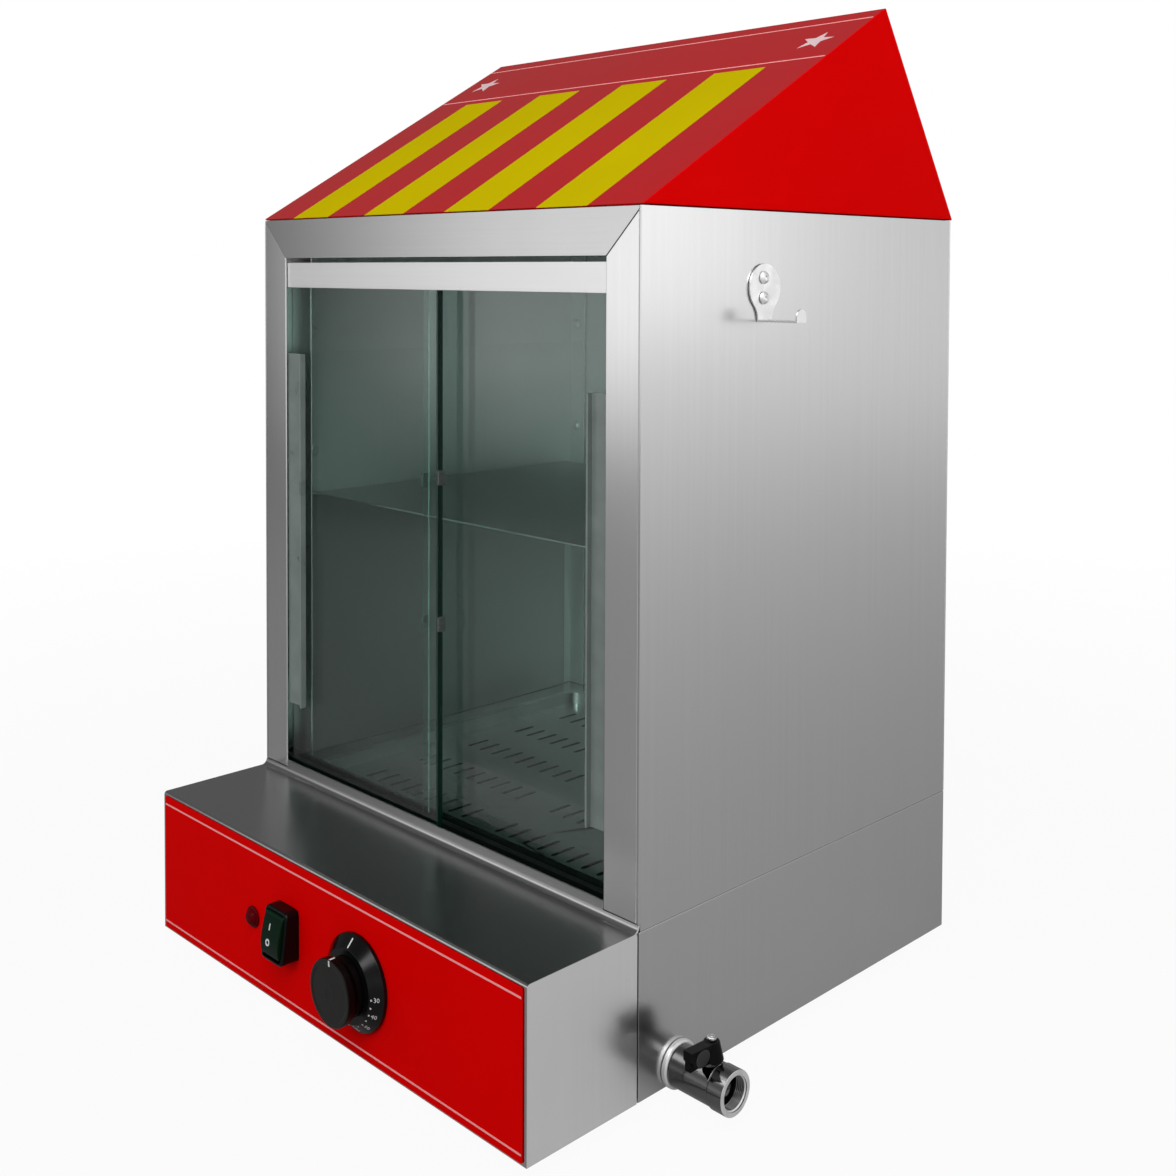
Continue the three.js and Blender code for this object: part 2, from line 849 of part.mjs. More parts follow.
function doors() {
  const rightHandle = handle().mirror([1, 0, 0]).translate([handleWidth, 0, 0]);
  const rightHandleLeft = glassWidth - rightHandleInset - handleWidth;
  const leftDoor = door("left", glassWidth, leftHandleInset, leftHandleBottom, handle(), leftBumperHeight);
  const rightDoor = door("right", 0, rightHandleLeft, rightHandleBottom, rightHandle, rightBumperHeight);
  return assembly([
    assembly(leftDoor, outerPaneLeft, outerPaneFront, glassBottom),
    assembly(rightDoor, innerPaneLeft, innerPaneFront, glassBottom),
  ]);
}

// Inside the cabinet

/** The shelf: one polished sheet bent down at both sides to stand on the deck. */
function shelf() {
  const side = liningInner + seam;
  const front = frontFace + shelfSetback;
  const rear = liningFlangeFront - shelfRearClearance;
  const bend = 3 * shelfSheet;
  const foot = baseHeight + seam;
  const outline = [
    [side, foot],
    ...arc(side + bend, shelfTop - bend, bend, halfTurn, quarterTurn, 3),
    ...arc(bodyWidth - side - bend, shelfTop - bend, bend, quarterTurn, 0, 3),
    [bodyWidth - side, foot],
    [bodyWidth - side - shelfSheet, foot],
    ...arc(bodyWidth - side - bend, shelfTop - bend, bend - shelfSheet, 0, quarterTurn, 3),
    ...arc(side + bend, shelfTop - bend, bend - shelfSheet, quarterTurn, halfTurn, 3),
    [side + shelfSheet, foot],
  ].reverse();
  return prism("y", outline, front, rear);
}

/** The perforated steam tray: a shallow pan whose rim lies on the deck round the tank opening. */
function steamTray() {
  const wallTop = baseHeight + seam + traySheet;
  const corner = trayCorner - seam;
  const outline = (outset) =>
    roundedRectangle(
      trayInset - outset,
      bodyWidth - trayInset + outset,
      trayFront - outset,
      trayRear + outset,
      corner + outset,
      3,
    );
  const pan = prism("z", outline(0), trayFloor - traySheet, wallTop);
  const hollow = prism("z", outline(-traySheet), trayFloor, wallTop + overrun);
  const rim = prism("z", outline(trayRim), wallTop - traySheet, wallTop);
  const tip = slotWidth / 2;
  const slot = (x, y) =>
    prism(
      "z",
      [
        [x, y - slotLength / 2],
        [x + tip, y - slotLength / 2 + tip],
        [x + tip, y + slotLength / 2 - tip],
        [x, y + slotLength / 2],
        [x - tip, y + slotLength / 2 - tip],
        [x - tip, y - slotLength / 2 + tip],
      ],
      trayFloor - traySheet - overrun,
      trayFloor + overrun / 2,
    );
  const slots = [];
  for (let row = 0; row < slotRows; row++) {
    const y = firstSlotRow + row * slotRowPitch;
    for (let i = 0; i < leftSlotCount; i++) slots.push(slot(leftSlotStart + i * slotPitch, y));
    for (let i = 0; i < rightSlotCount; i++) slots.push(slot(rightSlotStart + i * slotPitch, y));
  }
  return cut(join(pan, rim), join(hollow, ...slots));
}

/** The water tank that hangs under the deck, with the holes that pipe, element and bulb pass through. */
function waterTank() {
  const outline = (outset) =>
    roundedRectangle(
      tankInset - outset,
      bodyWidth - tankInset + outset,
      tankFront - outset,
      tankRear + outset,
      trayCorner + outset,
      3,
    );
  const outer = prism("z", outline(0), tankBottom, tankTop);
  const inner = prism("z", outline(-liningSheet), tankBottom + liningSheet, tankTop + overrun);
  const flange = prism("z", outline(tankFlange), tankTop - liningSheet, tankTop);
  const pipeX = bodyWidth - drainInset;
  const pipeY = drainSetback + drainOffset;
  const through = (radius, x, z) => rod(back, radius, 2 * overrun, 16, x, tankFront - overrun, z);
  return cut(
    join(outer, flange),
    inner,
    rod(up, pipeRadius + seam, 2 * overrun, 24, pipeX, pipeY, tankBottom - overrun),
    through(elementRadius + seam, elementCentre - elementBendRadius, elementHeight),
    through(elementRadius + seam, elementCentre + elementBendRadius, elementHeight),
    through(floatStemRadius + seam, floatCentre, floatHeight),
    through(bulbRadius + seam, bulbCentre, bulbHeight),
  );
}

/** The heating element: one hairpin tube with a hexagon nut on each leg in front of the tank. */
function heatingElement() {
  const nutFront = tankFront - seam - elementNutThickness;
  const start = nutFront - elementTail;
  const bend = tankFront + elementLength;
  const path = new THREE.CurvePath();
  const leftLeg = elementCentre - elementBendRadius;
  const rightLeg = elementCentre + elementBendRadius;
  const at = (x, y) => new THREE.Vector3(x, y, elementHeight);
  path.add(new THREE.LineCurve3(at(leftLeg, start), at(leftLeg, bend)));
  const turn = arc(elementCentre, bend, elementBendRadius, halfTurn, 0, 12).map(([x, y]) => at(x, y));
  for (let i = 1; i < turn.length; i++) path.add(new THREE.LineCurve3(turn[i - 1], turn[i]));
  path.add(new THREE.LineCurve3(at(rightLeg, bend), at(rightLeg, start)));
  const nut = (x) => rod(back, elementNutRadius, elementNutThickness, 6, x, nutFront, elementHeight);
  return join(tube(path, elementRadius, 8, 40), nut(leftLeg), nut(rightLeg));
}

/** The float that lights the low water lamp: a float on a stem through the front of the tank. */
function floatSwitch() {
  const profile = [
    [0, -elementTail],
    [floatStemRadius, -elementTail],
    [floatStemRadius, -elementNutThickness - seam],
    [elementNutRadius, -elementNutThickness - seam],
    [elementNutRadius, -seam],
    [floatStemRadius, -seam],
    [floatStemRadius, floatRadius],
    [floatRadius, floatRadius + floatStemRadius],
    [floatRadius, floatRadius + floatLength - floatStemRadius],
    [floatStemRadius, floatRadius + floatLength],
    [0, floatRadius + floatLength],
  ];
  return turned(back, profile, 12, floatCentre, tankFront, floatHeight);
}

/** The thermostat's bulb in the tank and the capillary that leads forward from it. */
function thermostatBulb() {
  const thermostatBack = shellFace + sheet + seam + thermostatDepth;
  const straight = 3 * bulbRadius;
  const leaving = new THREE.Vector3(bulbCentre, tankFront - straight, bulbHeight);
  const arriving = new THREE.Vector3(dialCentre, thermostatBack + straight, dialHeight);
  const path = new THREE.CatmullRomCurve3([
    new THREE.Vector3(bulbCentre, tankFront + bulbRadius, bulbHeight),
    leaving,
    leaving.clone().lerp(arriving, 1 / 2),
    arriving,
    new THREE.Vector3(dialCentre, thermostatBack + seam, dialHeight),
  ]);
  const profile = [
    [0, 0],
    [capillaryRadius, 0],
    [bulbRadius, bulbRadius],
    [bulbRadius, bulbLength - bulbRadius],
    [capillaryRadius, bulbLength],
    [0, bulbLength],
  ];
  const bulb = turned(back, profile, 10, bulbCentre, tankFront, bulbHeight);
  return join(bulb, tube(path, capillaryRadius, 6, 20));
}

function interior() {
  return assembly([
    piece("shelf", shelf(), finishes.polishedSteel),
    piece("steam_tray", steamTray(), finishes.brushedSteel),
    piece("water_tank", waterTank(), finishes.galvanised),
    piece("heating_element", heatingElement(), finishes.polishedSteel),
    piece("float_switch", floatSwitch(), finishes.whitePlastic),
    piece("thermostat_bulb", thermostatBulb(), finishes.copper),
  ]);
}

// Drain valve

/** The drain pipe: down out of the tank floor, round a bend and out through the skirt. */
function drainPipe() {
  const bore = (radius, extra) => {
    const path = new THREE.CurvePath();
    const x = bodyWidth - drainInset;
    const top = new THREE.Vector3(x, drainSetback + drainOffset, tankBottom + liningSheet + extra);
    const bendTop = new THREE.Vector3(x, drainSetback + drainOffset, drainHeight + pipeBendRadius);
    const corner = new THREE.Vector3(x, drainSetback, drainHeight);
    const bendEnd = new THREE.Vector3(x + pipeBendRadius, drainSetback, drainHeight);
    const end = new THREE.Vector3(bodyWidth + nippleReach + extra, drainSetback, drainHeight);
    const bend = new THREE.QuadraticBezierCurve3(bendTop, corner, bendEnd);
    path.add(new THREE.LineCurve3(top, bendTop));
    path.add(bend);
    path.add(new THREE.LineCurve3(bendEnd, end));
    return tube(path, radius, 10, 20);
  };
  return cut(bore(pipeRadius, 0), bore(pipeBore, overrun));
}

/** The valve body: a chromed barrel with a collar, the cavity for its ball and a boss for the stem. */
function valveBody() {
  const profile = [
    [pipeRadius + seam, 0],
    [valveRadius - valveChamfer, 0],
    [valveRadius, valveChamfer],
    [valveRadius, valveLength - collarLength],
    [collarRadius, valveLength - collarLength + (collarRadius - valveRadius)],
    [collarRadius, valveLength - valveChamfer],
    [collarRadius - valveChamfer, valveLength],
    [outletRadius, valveLength],
    [outletRadius, valveLength - outletDepth],
    [waterwayRadius, valveLength - outletDepth],
    [waterwayRadius, nippleReach],
    [pipeRadius + seam, nippleReach],
    [pipeRadius + seam, 0],
  ];
  const barrel = turned(right, profile, 26);
  const boss = cut(
    rod(up, stemBossRadius, stemBossTop - waterwayRadius, 20, stemSetback, 0, waterwayRadius),
    rod(right, waterwayRadius + seam, valveLength, 28),
  );
  const cavity = toSolid(new THREE.SphereGeometry(ballRadius + seam, 16, 10).translate(stemSetback, 0, 0));
  const stemHole = rod(up, stemRadius + seam, stemBossTop + overrun, 16, stemSetback, 0, 0);
  return cut(join(barrel, boss), cavity, stemHole);
}

/** The ball with its waterway across the pipe, as it lies when shut, and a slot for the stem. */
function valveBall() {
  const ball = toSolid(new THREE.SphereGeometry(ballRadius, 16, 10));
  const waterway = rod(back, waterwayRadius, 2 * ballRadius + 2 * overrun, 16, 0, -ballRadius - overrun, 0);
  const halfSlot = stemRadius / 2 + seam;
  const slotFloor = ballRadius - 2 * seam - stemRadius / 2;
  const slot = block(-halfSlot, halfSlot, -ballRadius, ballRadius, slotFloor, ballRadius + overrun);
  return cut(ball, waterway, slot);
}

/** The stem: a round bar with a tang in the ball's slot and a threaded hole for the lever screw. */
function valveStem() {
  const shoulder = ballRadius + seam;
  const bar = rod(up, stemRadius, stemTop - shoulder, 16, 0, 0, shoulder);
  const halfTang = stemRadius / 2;
  const tang = block(-halfTang, halfTang, -halfTang, halfTang, shoulder - halfTang, shoulder + seam);
  const hole = rod(up, stemRadius / 2 + seam / 2, stemTop, 12, 0, 0, (shoulder + stemTop) / 2);
  return cut(join(bar, tang), hole);
}

/** The lever: a tapered hub on the stem and one wing with a rounded thumb pad on each flank. */
function valveLever() {
  const hubProfile = [
    [0, leverBottom],
    [hubRadius, leverBottom],
    [hubTopRadius, hubTop - seam],
    [hubTopRadius - seam, hubTop],
    [0, hubTop],
  ];
  const hub = turned(up, hubProfile, 20);
  const half = leverThickness / 2;
  const wing = prism(
    "x",
    [
      [-leverReach, leverBottom],
      [0, leverBottom],
      [0, hubTop - seam],
      [-leverReach, hubTop + leverTipRise],
    ],
    -half,
    half,
  );
  const padEdge = new THREE.QuadraticBezierCurve(
    new THREE.Vector2(-leverReach, hubTop + leverTipRise - leverPadDrop),
    new THREE.Vector2(-leverReach + leverPadReach / 3, leverBottom),
    new THREE.Vector2(-leverReach + leverPadReach, leverBottom),
  );
  const recess = [
    ...padEdge.getPoints(6).map(({ x, y }) => [x, y]),
    [-leverReach + leverPadReach, leverBottom - overrun],
    [-leverReach - overrun, leverBottom - overrun],
    [-leverReach - overrun, hubTop + leverTipRise - leverPadDrop],
  ];
  const boreBottom = leverBottom - overrun;
  const stemBore = rod(up, stemRadius + seam, stemTop + seam - boreBottom, 16, 0, 0, boreBottom);
  const screwBore = rod(up, stemRadius / 2 + seam, hubTop, 12, 0, 0, leverBottom);
  return cut(
    join(hub, wing),
    prism("x", recess, half - leverRecess, half + overrun),
    prism("x", recess, -half - overrun, -half + leverRecess),
    stemBore,
    screwBore,
  );
}

function drainValve() {
  const nutProfile = [
    [pipeRadius + seam, 0],
    [nutRadius, 0],
    [nutRadius, nutThickness - valveChamfer],
    [nutRadius - valveChamfer, nutThickness],
    [pipeRadius + seam, nutThickness],
    [pipeRadius + seam, 0],
  ];
  const nut = piece("valve_flange_nut", turned(right, nutProfile, 26), finishes.chrome);
  nut.position.x = seam;
  const body = piece("valve_body", valveBody(), finishes.chrome);
  body.position.x = 2 * seam + nutThickness;
  const screwLength = (hubTop - (ballRadius + stemTop) / 2) / 2;
  const screwShank = stemRadius / 2 - seam / 2;
  const handleParts = assembly(
    [
      piece("valve_ball", valveBall(), finishes.chrome),
      piece("valve_stem", valveStem(), finishes.chrome),
      piece("valve_lever", valveLever(), finishes.blackPlastic),
      piece(
        "valve_lever_screw",
        screw(up, leverScrewRadius, leverScrewHeight, screwShank, screwLength, 0, 0, hubTop + seam),
        finishes.chrome,
      ),
    ],
    2 * seam + nutThickness + stemSetback,
  );
  return assembly([nut, body, handleParts], bodyWidth, drainSetback, drainHeight);
}

// Tongs hook

/** The hook: a teardrop plate whose foot is bent out into an arm with a turned up tip. */
function tongsHook() {
  const spread = halfTurn * hookCrownShare;
  const crown = arc(0, 0, hookPlateRadius, -spread, halfTurn + spread, 20);
  const neck = new THREE.QuadraticBezierCurve(
    new THREE.Vector2(...crown[crown.length - 1]),
    new THREE.Vector2(-hookRootHalfWidth, -hookDrop * hookNeckShare),
    new THREE.Vector2(-hookRootHalfWidth, -hookDrop),
  );
  const leftNeck = neck.getPoints(5).slice(1).map(({ x, y }) => [x, y]);
  const rightNeck = leftNeck.map(([x, y]) => [-x, y]).reverse();
  const plate = prism("x", [...crown, ...leftNeck, ...rightNeck], seam, seam + hookSheet);
  const arm = prism(
    "z",
    [
      [seam, -hookRootHalfWidth],
      [hookReach, -hookTipHalfWidth],
      [hookReach, hookTipHalfWidth],
      [seam, hookRootHalfWidth],
    ],
    -hookDrop - hookSheet,
    -hookDrop + seam / 3,
  );
  const tipTop = hookTipHeight - hookTipHalfWidth;
  const tip = prism(
    "x",
    [
      [-hookTipHalfWidth, -hookDrop - hookSheet],
      [hookTipHalfWidth, -hookDrop - hookSheet],
      ...arc(0, -hookDrop + tipTop, hookTipHalfWidth, 0, halfTurn, 8),
    ],
    hookReach - hookSheet,
    hookReach,
  );
  return cut(join(plate, arm, tip), ...hookScrewHoles(0, 0, 0));
}

/** A button head screw with a recess for its driver. */
function hookScrew() {
  const tail = -hookSheet - seam - sheet + seam / 3;
  const profile = [
    [0, tail],
    [hookScrewShank, tail],
    [hookScrewShank, 0],
    [hookScrewHead, 0],
    ...buttonHeadShares.map(([out, rise]) => [hookScrewHead * out, hookScrewHeight * rise]),
    [0, hookScrewHeight],
  ];
  const driver = rod(right, hookSocketRadius, hookScrewHeight, 6, hookScrewHeight - hookSocketDepth);
  return cut(turned(right, profile, 16), driver);
}

function hook() {
  const pieces = [piece("tongs_hook", tongsHook(), finishes.chrome)];
  for (const [level, z] of Object.entries({ upper: hookScrewSpacing / 2, lower: -hookScrewSpacing / 2 })) {
    const mesh = piece(level + "_hook_screw", hookScrew(), finishes.chrome);
    mesh.position.set(2 * seam + hookSheet, -hookScrewOffset, z);
    pieces.push(mesh);
  }
  return assembly(pieces, bodyWidth, hookSetback, hookHeight);
}

// Roof

/** The triangle of front eave, rear eave and ridge, drawn in from the outside by a distance. */
function roofTriangle(inset) {
  const depth = bodyDepth - frontFace + 2 * roofOverhang;
  const corners = [
    new THREE.Vector2(0, 0),
    new THREE.Vector2(depth, 0),
    new THREE.Vector2(roofApexSetback + roofOverhang, roofRise),
  ];
  const incentre = new THREE.Vector2();
  const sides = corners.map((corner, i) => corners[(i + 2) % 3].distanceTo(corners[(i + 1) % 3]));
  const perimeter = sides[0] + sides[1] + sides[2];
  corners.forEach((corner, i) => incentre.addScaledVector(corner, sides[i] / perimeter));
  const share = 1 - (inset * perimeter) / (depth * roofRise);
  return corners.map((corner) => corner.clone().sub(incentre).multiplyScalar(share).add(incentre));
}

/** A strip of the rear slope's skin, short of the ridge and the eave by a distance, as [y, z] points. */
function rearSlopeStrip(setback, thickness) {
  const [, eave, ridge] = roofTriangle(roofSheet);
  const length = ridge.distanceTo(eave);
  const along = eave.clone().sub(ridge).normalize();
  const outward = new THREE.Vector2(-along.y, along.x);
  const at = (down, out) =>
    ridge.clone().addScaledVector(along, down).addScaledVector(outward, out).toArray();
  const foot = length - setback;
  return [at(setback, 0), at(foot, 0), at(foot, thickness), at(setback, thickness)];
}

/** The canopy: front slope and both gables in one skin, with a flange turned in round its foot. */
function roofShell() {
  const width = bodyWidth + 2 * roofOverhang;
  const outline = roofTriangle(0).map((corner) => corner.toArray());
  const inner = roofTriangle(roofSheet);
  const hollow = prism("x", inner.map((corner) => corner.toArray()), roofSheet, width - roofSheet);
  const mouth = block(
    roofFlange,
    width - roofFlange,
    inner[0].x + roofFlange,
    inner[1].x - roofFlange / 2,
    -overrun,
    2 * roofSheet,
  );
  const rearOpening = prism("x", rearSlopeStrip(0, overrun), roofSheet, width - roofSheet);
  const shoulder = roofBend * roofBendShare;
  const bend = [
    [0, 0],
    [roofBend, 0],
    [shoulder, shoulder],
    [0, roofBend],
  ];
  const depth = outline[1][0];
  const leftBend = prism("y", bend, -overrun, depth + overrun);
  const rightBend = leftBend.mirror([1, 0, 0]).translate([width, 0, 0]);
  const skin = prism("x", rounded(outline, roofBend, 4), 0, width);
  return cut(skin, hollow, mouth, rearOpening, leftBend, rightBend);
}

/** The plain panel that closes the rear slope between the gables. */
function roofRearPanel() {
  return prism(
    "x",
    rearSlopeStrip(seam, roofSheet),
    roofSheet + seam,
    bodyWidth + 2 * roofOverhang - roofSheet - seam,
  );
}

function roof() {
  return assembly(
    [
      piece("roof_shell", roofShell(), finishes.redRoof),
      piece("roof_rear_panel", roofRearPanel(), finishes.redRoof),
    ],
    -roofOverhang,
    frontFace - roofOverhang,
    cabinetTop + seam,
  );
}

// Controls

/** The printed fascia on the front of the control box. */
function fascia() {
  const sheetOutline = roundedRectangle(
    fasciaMargin,
    bodyWidth - fasciaMargin,
    fasciaMargin / 2,
    baseHeight - frontBendRadius,
    fasciaMargin / 2,
    2,
  );
  const lampHole = rod(back, lampBarrelRadius + seam, 2 * overrun, 24, lampCentre, -overrun, controlHeight);
  const shaftHole = rod(back, bezelBore, 2 * overrun, 24, dialCentre, -overrun, dialHeight);
  return cut(prism("y", sheetOutline, 0, fasciaThickness), lampHole, shaftHole, switchCutout());
}

/** The indicator lamp: a faceted lens in a bezel, with its barrel behind the panel. */
function indicatorLamp() {
  const wallBehind = shellFace + sheet;
  const barrel = rod(back, lampBarrelRadius, wallBehind + lampBarrelLength + seam, 16, 0, -seam, 0);
  const bezelProfile = [
    [0, seam],
    [lampBezelRadius, seam],
    [lampBezelRadius, seam + lampBezelEdge],
    [lampRadius, seam + lampBezelHeight],
    [0, seam + lampBezelHeight],
  ];
  const lensProfile = [
    [0, seam],
    [lampRadius, seam],
    [lampRadius, lampProjection * lensShoulderShare],
    [lampRadius * lensCrownShare, lampProjection],
    [0, lampProjection],
  ];
  const bezel = turned(forward, bezelProfile, 16);
  const lens = turned(forward, lensProfile, 8);
  return join(barrel, bezel, lens);
}

/** The switch body: a sloping hood round the rocker, a barrel through the panel and its tabs. */
function switchBody() {
  const halfWidth = switchWidth / 2;
  const halfTall = switchTall / 2;
  const hood = prism(
    "y",
    roundedRectangle(-halfWidth, halfWidth, -halfTall, halfTall, hoodCorner, 3),
    -hoodBottomProjection,
    -seam,
  );
  const slope = prism(
    "x",
    [
      [-hoodBottomProjection, -halfTall],
      [-hoodTopProjection, halfTall],
      [-hoodTopProjection, halfTall + overrun],
      [-hoodBottomProjection - overrun, halfTall + overrun],
      [-hoodBottomProjection - overrun, -halfTall],
    ],
    -halfWidth - overrun,
    halfWidth + overrun,
  );
  const well = block(
    -halfWidth + switchWall,
    halfWidth - switchWall,
    -hoodBottomProjection - overrun,
    shellFace,
    -halfTall + switchWall,
    halfTall - switchWall,
  );
  const trunnionHole = rod(
    right,
    trunnionRadius + seam,
    switchWidth - 2 * switchWall + 2 * (trunnionReach + seam),
    12,
    -halfWidth + switchWall - trunnionReach - seam,
    -rockerPivotDepth,
    0,
  );
  const barrelRear = shellFace + sheet + switchBarrelLength;
  const barrel = block(
    -halfWidth + switchWall / 2,
    halfWidth - switchWall / 2,
    -2 * seam,
    barrelRear,
    -halfTall + switchWall / 2,
    halfTall - switchWall / 2,
  );
  const tabs = [-halfWidth / 2, halfWidth / 2].flatMap((x) =>
    [-halfTall / 2, halfTall / 2].map((z) =>
      block(
        x - switchTabThickness / 2,
        x + switchTabThickness / 2,
        barrelRear - seam,
        barrelRear + switchTabLength,
        z - switchTabWidth / 2,
        z + switchTabWidth / 2,
      ),
    ),
  );
  return join(cut(join(hood, barrel), slope, well, trunnionHole), ...tabs);
}

/** The rocker about its own pivot: two lands that meet in a shallow valley, on trunnions. */
function switchRocker() {
  const halfWidth = switchWidth / 2 - switchWall - rockerSlack;
  const halfTall = switchTall / 2 - switchWall - 2 * rockerSlack;
  const profile = [
    [-rockerValley, 0],
    [-rockerCrown, -halfTall],
    [-rockerSkirt / 3, -halfTall],
    [rockerSkirt, -halfTall / 3],
    [rockerSkirt, halfTall / 3],
    [-rockerSkirt / 3, halfTall],
    [-rockerCrown, halfTall],
  ];
  const body = prism("x", profile, -halfWidth, halfWidth);
  const reach = halfWidth + rockerSlack + trunnionReach;
  return join(body, rod(right, trunnionRadius, 2 * reach, 12, -reach, 0, 0));
}

/** The fixed dial ring: a rim on the panel and a cone up to the knob. */
function dialBezel() {
  const profile = [
    [bezelBore, seam],
    [bezelRadius, seam],
    [bezelRadius, bezelRim],
    [bezelCrownRadius, bezelDepth],
    [bezelBore, bezelDepth],
    [bezelBore, seam],
  ];
  return turned(forward, profile, 36);
}

/** A round bar that runs forwards from a place behind it and has a flat on top past another place. */
function spindle(radius, rear, reach, flatFrom) {
  const bar = rod(forward, radius, reach + rear, 16, 0, rear, 0);
  const flat = block(-radius, radius, -reach - overrun, flatFrom, radius - spindleFlat, radius + overrun);
  return cut(bar, flat);
}

/** The knob, its back against the dial ring, with a raised pointer and a bore for the spindle. */
function thermostatKnob() {
  const profile = [
    [0, 0],
    [knobNeckRadius, 0],
    [knobNeckRadius, knobDepth * knobNeckShare],
    [knobRadius, knobDepth * knobShoulderShare],
    [knobRadius, knobDepth - knobEdge],
    [knobRadius - knobEdge, knobDepth],
    [0, knobDepth],
  ];
  const pointer = block(
    -knobPointerWidth / 2,
    knobPointerWidth / 2,
    -knobDepth - knobPointer,
    -knobDepth * pointerSinkShare,
    knobRadius * pointerFootShare,
    knobRadius - knobEdge / 2,
  );
  const boreDepth = spindleReach + spindleSlack - bezelDepth;
  const bore = spindle(spindleRadius + spindleSlack, overrun, boreDepth, overrun);
  return cut(join(turned(forward, profile, 36), pointer), bore);
}

/** The thermostat behind the panel, with a seat in its front for the spindle. */
function thermostat() {
  const front = shellFace + sheet + seam;
  const body = block(
    -thermostatWidth / 2,
    thermostatWidth / 2,
    front,
    front + thermostatDepth,
    -thermostatHeight / 2,
    thermostatHeight / 2,
  );
  const seatDepth = spindleSeat + spindleSlack + overrun;
  const seat = rod(back, spindleRadius + spindleSlack, seatDepth, 16, 0, front - overrun, 0);
  return cut(body, seat);
}

/** The terminal block with a screw well for each way. */
function terminalBlock() {
  const halfWidth = terminalWidth / 2;
  const halfDepth = terminalDepth / 2;
  const body = block(-halfWidth, halfWidth, -halfDepth, halfDepth, 0, terminalHeight);
  const pitch = terminalWidth / terminalWays;
  const wells = [];
  for (let way = 0; way < terminalWays; way++) {
    const x = pitch * way + pitch / 2 - halfWidth;
    for (const y of [-halfDepth / 2, halfDepth / 2]) {
      wells.push(rod(up, pitch / 4, terminalHeight, 10, x, y, terminalHeight / 2));
    }
  }
  return cut(body, ...wells);
}

/** The cable gland in the rear skirt, its bore empty. */
function cableGland() {
  const flange = rod(back, glandNutRadius, glandNutThickness, 6, 0, seam, 0);
  const profile = [
    [glandBore, -sheet - glandNutThickness],
    [glandThread, -sheet - glandNutThickness],
    [glandThread, glandNutThickness],
    [glandDomeRadius, glandNutThickness],
    [glandDomeRadius, glandLength * glandDomeShare],
    [glandBore + glandLip, glandLength],
    [glandBore, glandLength],
    [glandBore, -sheet - glandNutThickness],
  ];
  const bore = rod(back, glandBore, glandLength + 2 * overrun + sheet, 16, 0, -sheet - overrun, 0);
  return cut(join(turned(back, profile, 16), flange), bore);
}

function controls() {
  const rocker = piece("switch_rocker", switchRocker(), finishes.greenPlastic);
  rocker.position.y = -rockerPivotDepth;
  rocker.rotation.x = -THREE.MathUtils.degToRad(rockerTilt);
  const powerSwitch = assembly(
    [piece("switch_body", switchBody(), finishes.blackPlastic), rocker],
    switchCentre,
    0,
    switchHeight,
  );
  const spindleRear = shellFace + sheet + seam + spindleSeat;
  const flatSpindle = spindle(spindleRadius, spindleRear, spindleReach, -bezelDepth);
  const knob = piece("thermostat_knob", thermostatKnob(), finishes.blackPlastic);
  knob.position.y = -bezelDepth - seam;
  const dial = assembly(
    [
      piece("dial_bezel", dialBezel(), finishes.blackPlastic),
      knob,
      piece("thermostat_spindle", flatSpindle, finishes.galvanised),
      piece("thermostat", thermostat(), finishes.galvanised),
    ],
    dialCentre,
    0,
    dialHeight,
  );
  const lamp = piece("indicator_lamp", indicatorLamp(), finishes.redLens);
  lamp.position.set(lampCentre, 0, controlHeight);
  const terminals = piece("terminal_block", terminalBlock(), finishes.whitePlastic);
  terminals.position.set(terminalCentre, frontFace / 2, 2 * sheet + 2 * seam);
  const gland = piece("cable_gland", cableGland(), finishes.blackPlastic);
  gland.position.set(glandCentre, bodyDepth, glandHeight);
  return assembly([
    piece("control_fascia", fascia(), finishes.redFascia),
    lamp,
    powerSwitch,
    dial,
    terminals,
    gland,
  ]);
}

// The whole machine

const steamer = assembly([
  base(),
  cabinet(),
  doors(),
  interior(),
  assembly([piece("drain_pipe", drainPipe(), finishes.polishedSteel)]),
  drainValve(),
  hook(),
  roof(),
  controls(),
]);
const bounds = new THREE.Box3().setFromObject(steamer, true);
const centre = bounds.getCenter(new THREE.Vector3());
steamer.position.set(-centre.x, -centre.y, -bounds.min.z);

const model = new THREE.Group();
model.add(steamer);

export default model;
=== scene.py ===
"""Looks of a countertop hot dog steamer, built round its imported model.

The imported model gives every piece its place. This script gives the pieces their rounded edges, their
printed stripes and scales and their finishes, and then sets up a plain studio round them. Sizes are in
millimetres in the casing's frame: X to the right from the casing's left side, Y to the back from the face
of the fascia and Z up from the casing's lower edge.
"""

from __future__ import annotations

import json
import logging
import math
from collections.abc import Callable, Iterable, Sequence
from dataclasses import dataclass, field
from enum import Enum

import bmesh
import bpy
from mathutils import Matrix, Vector

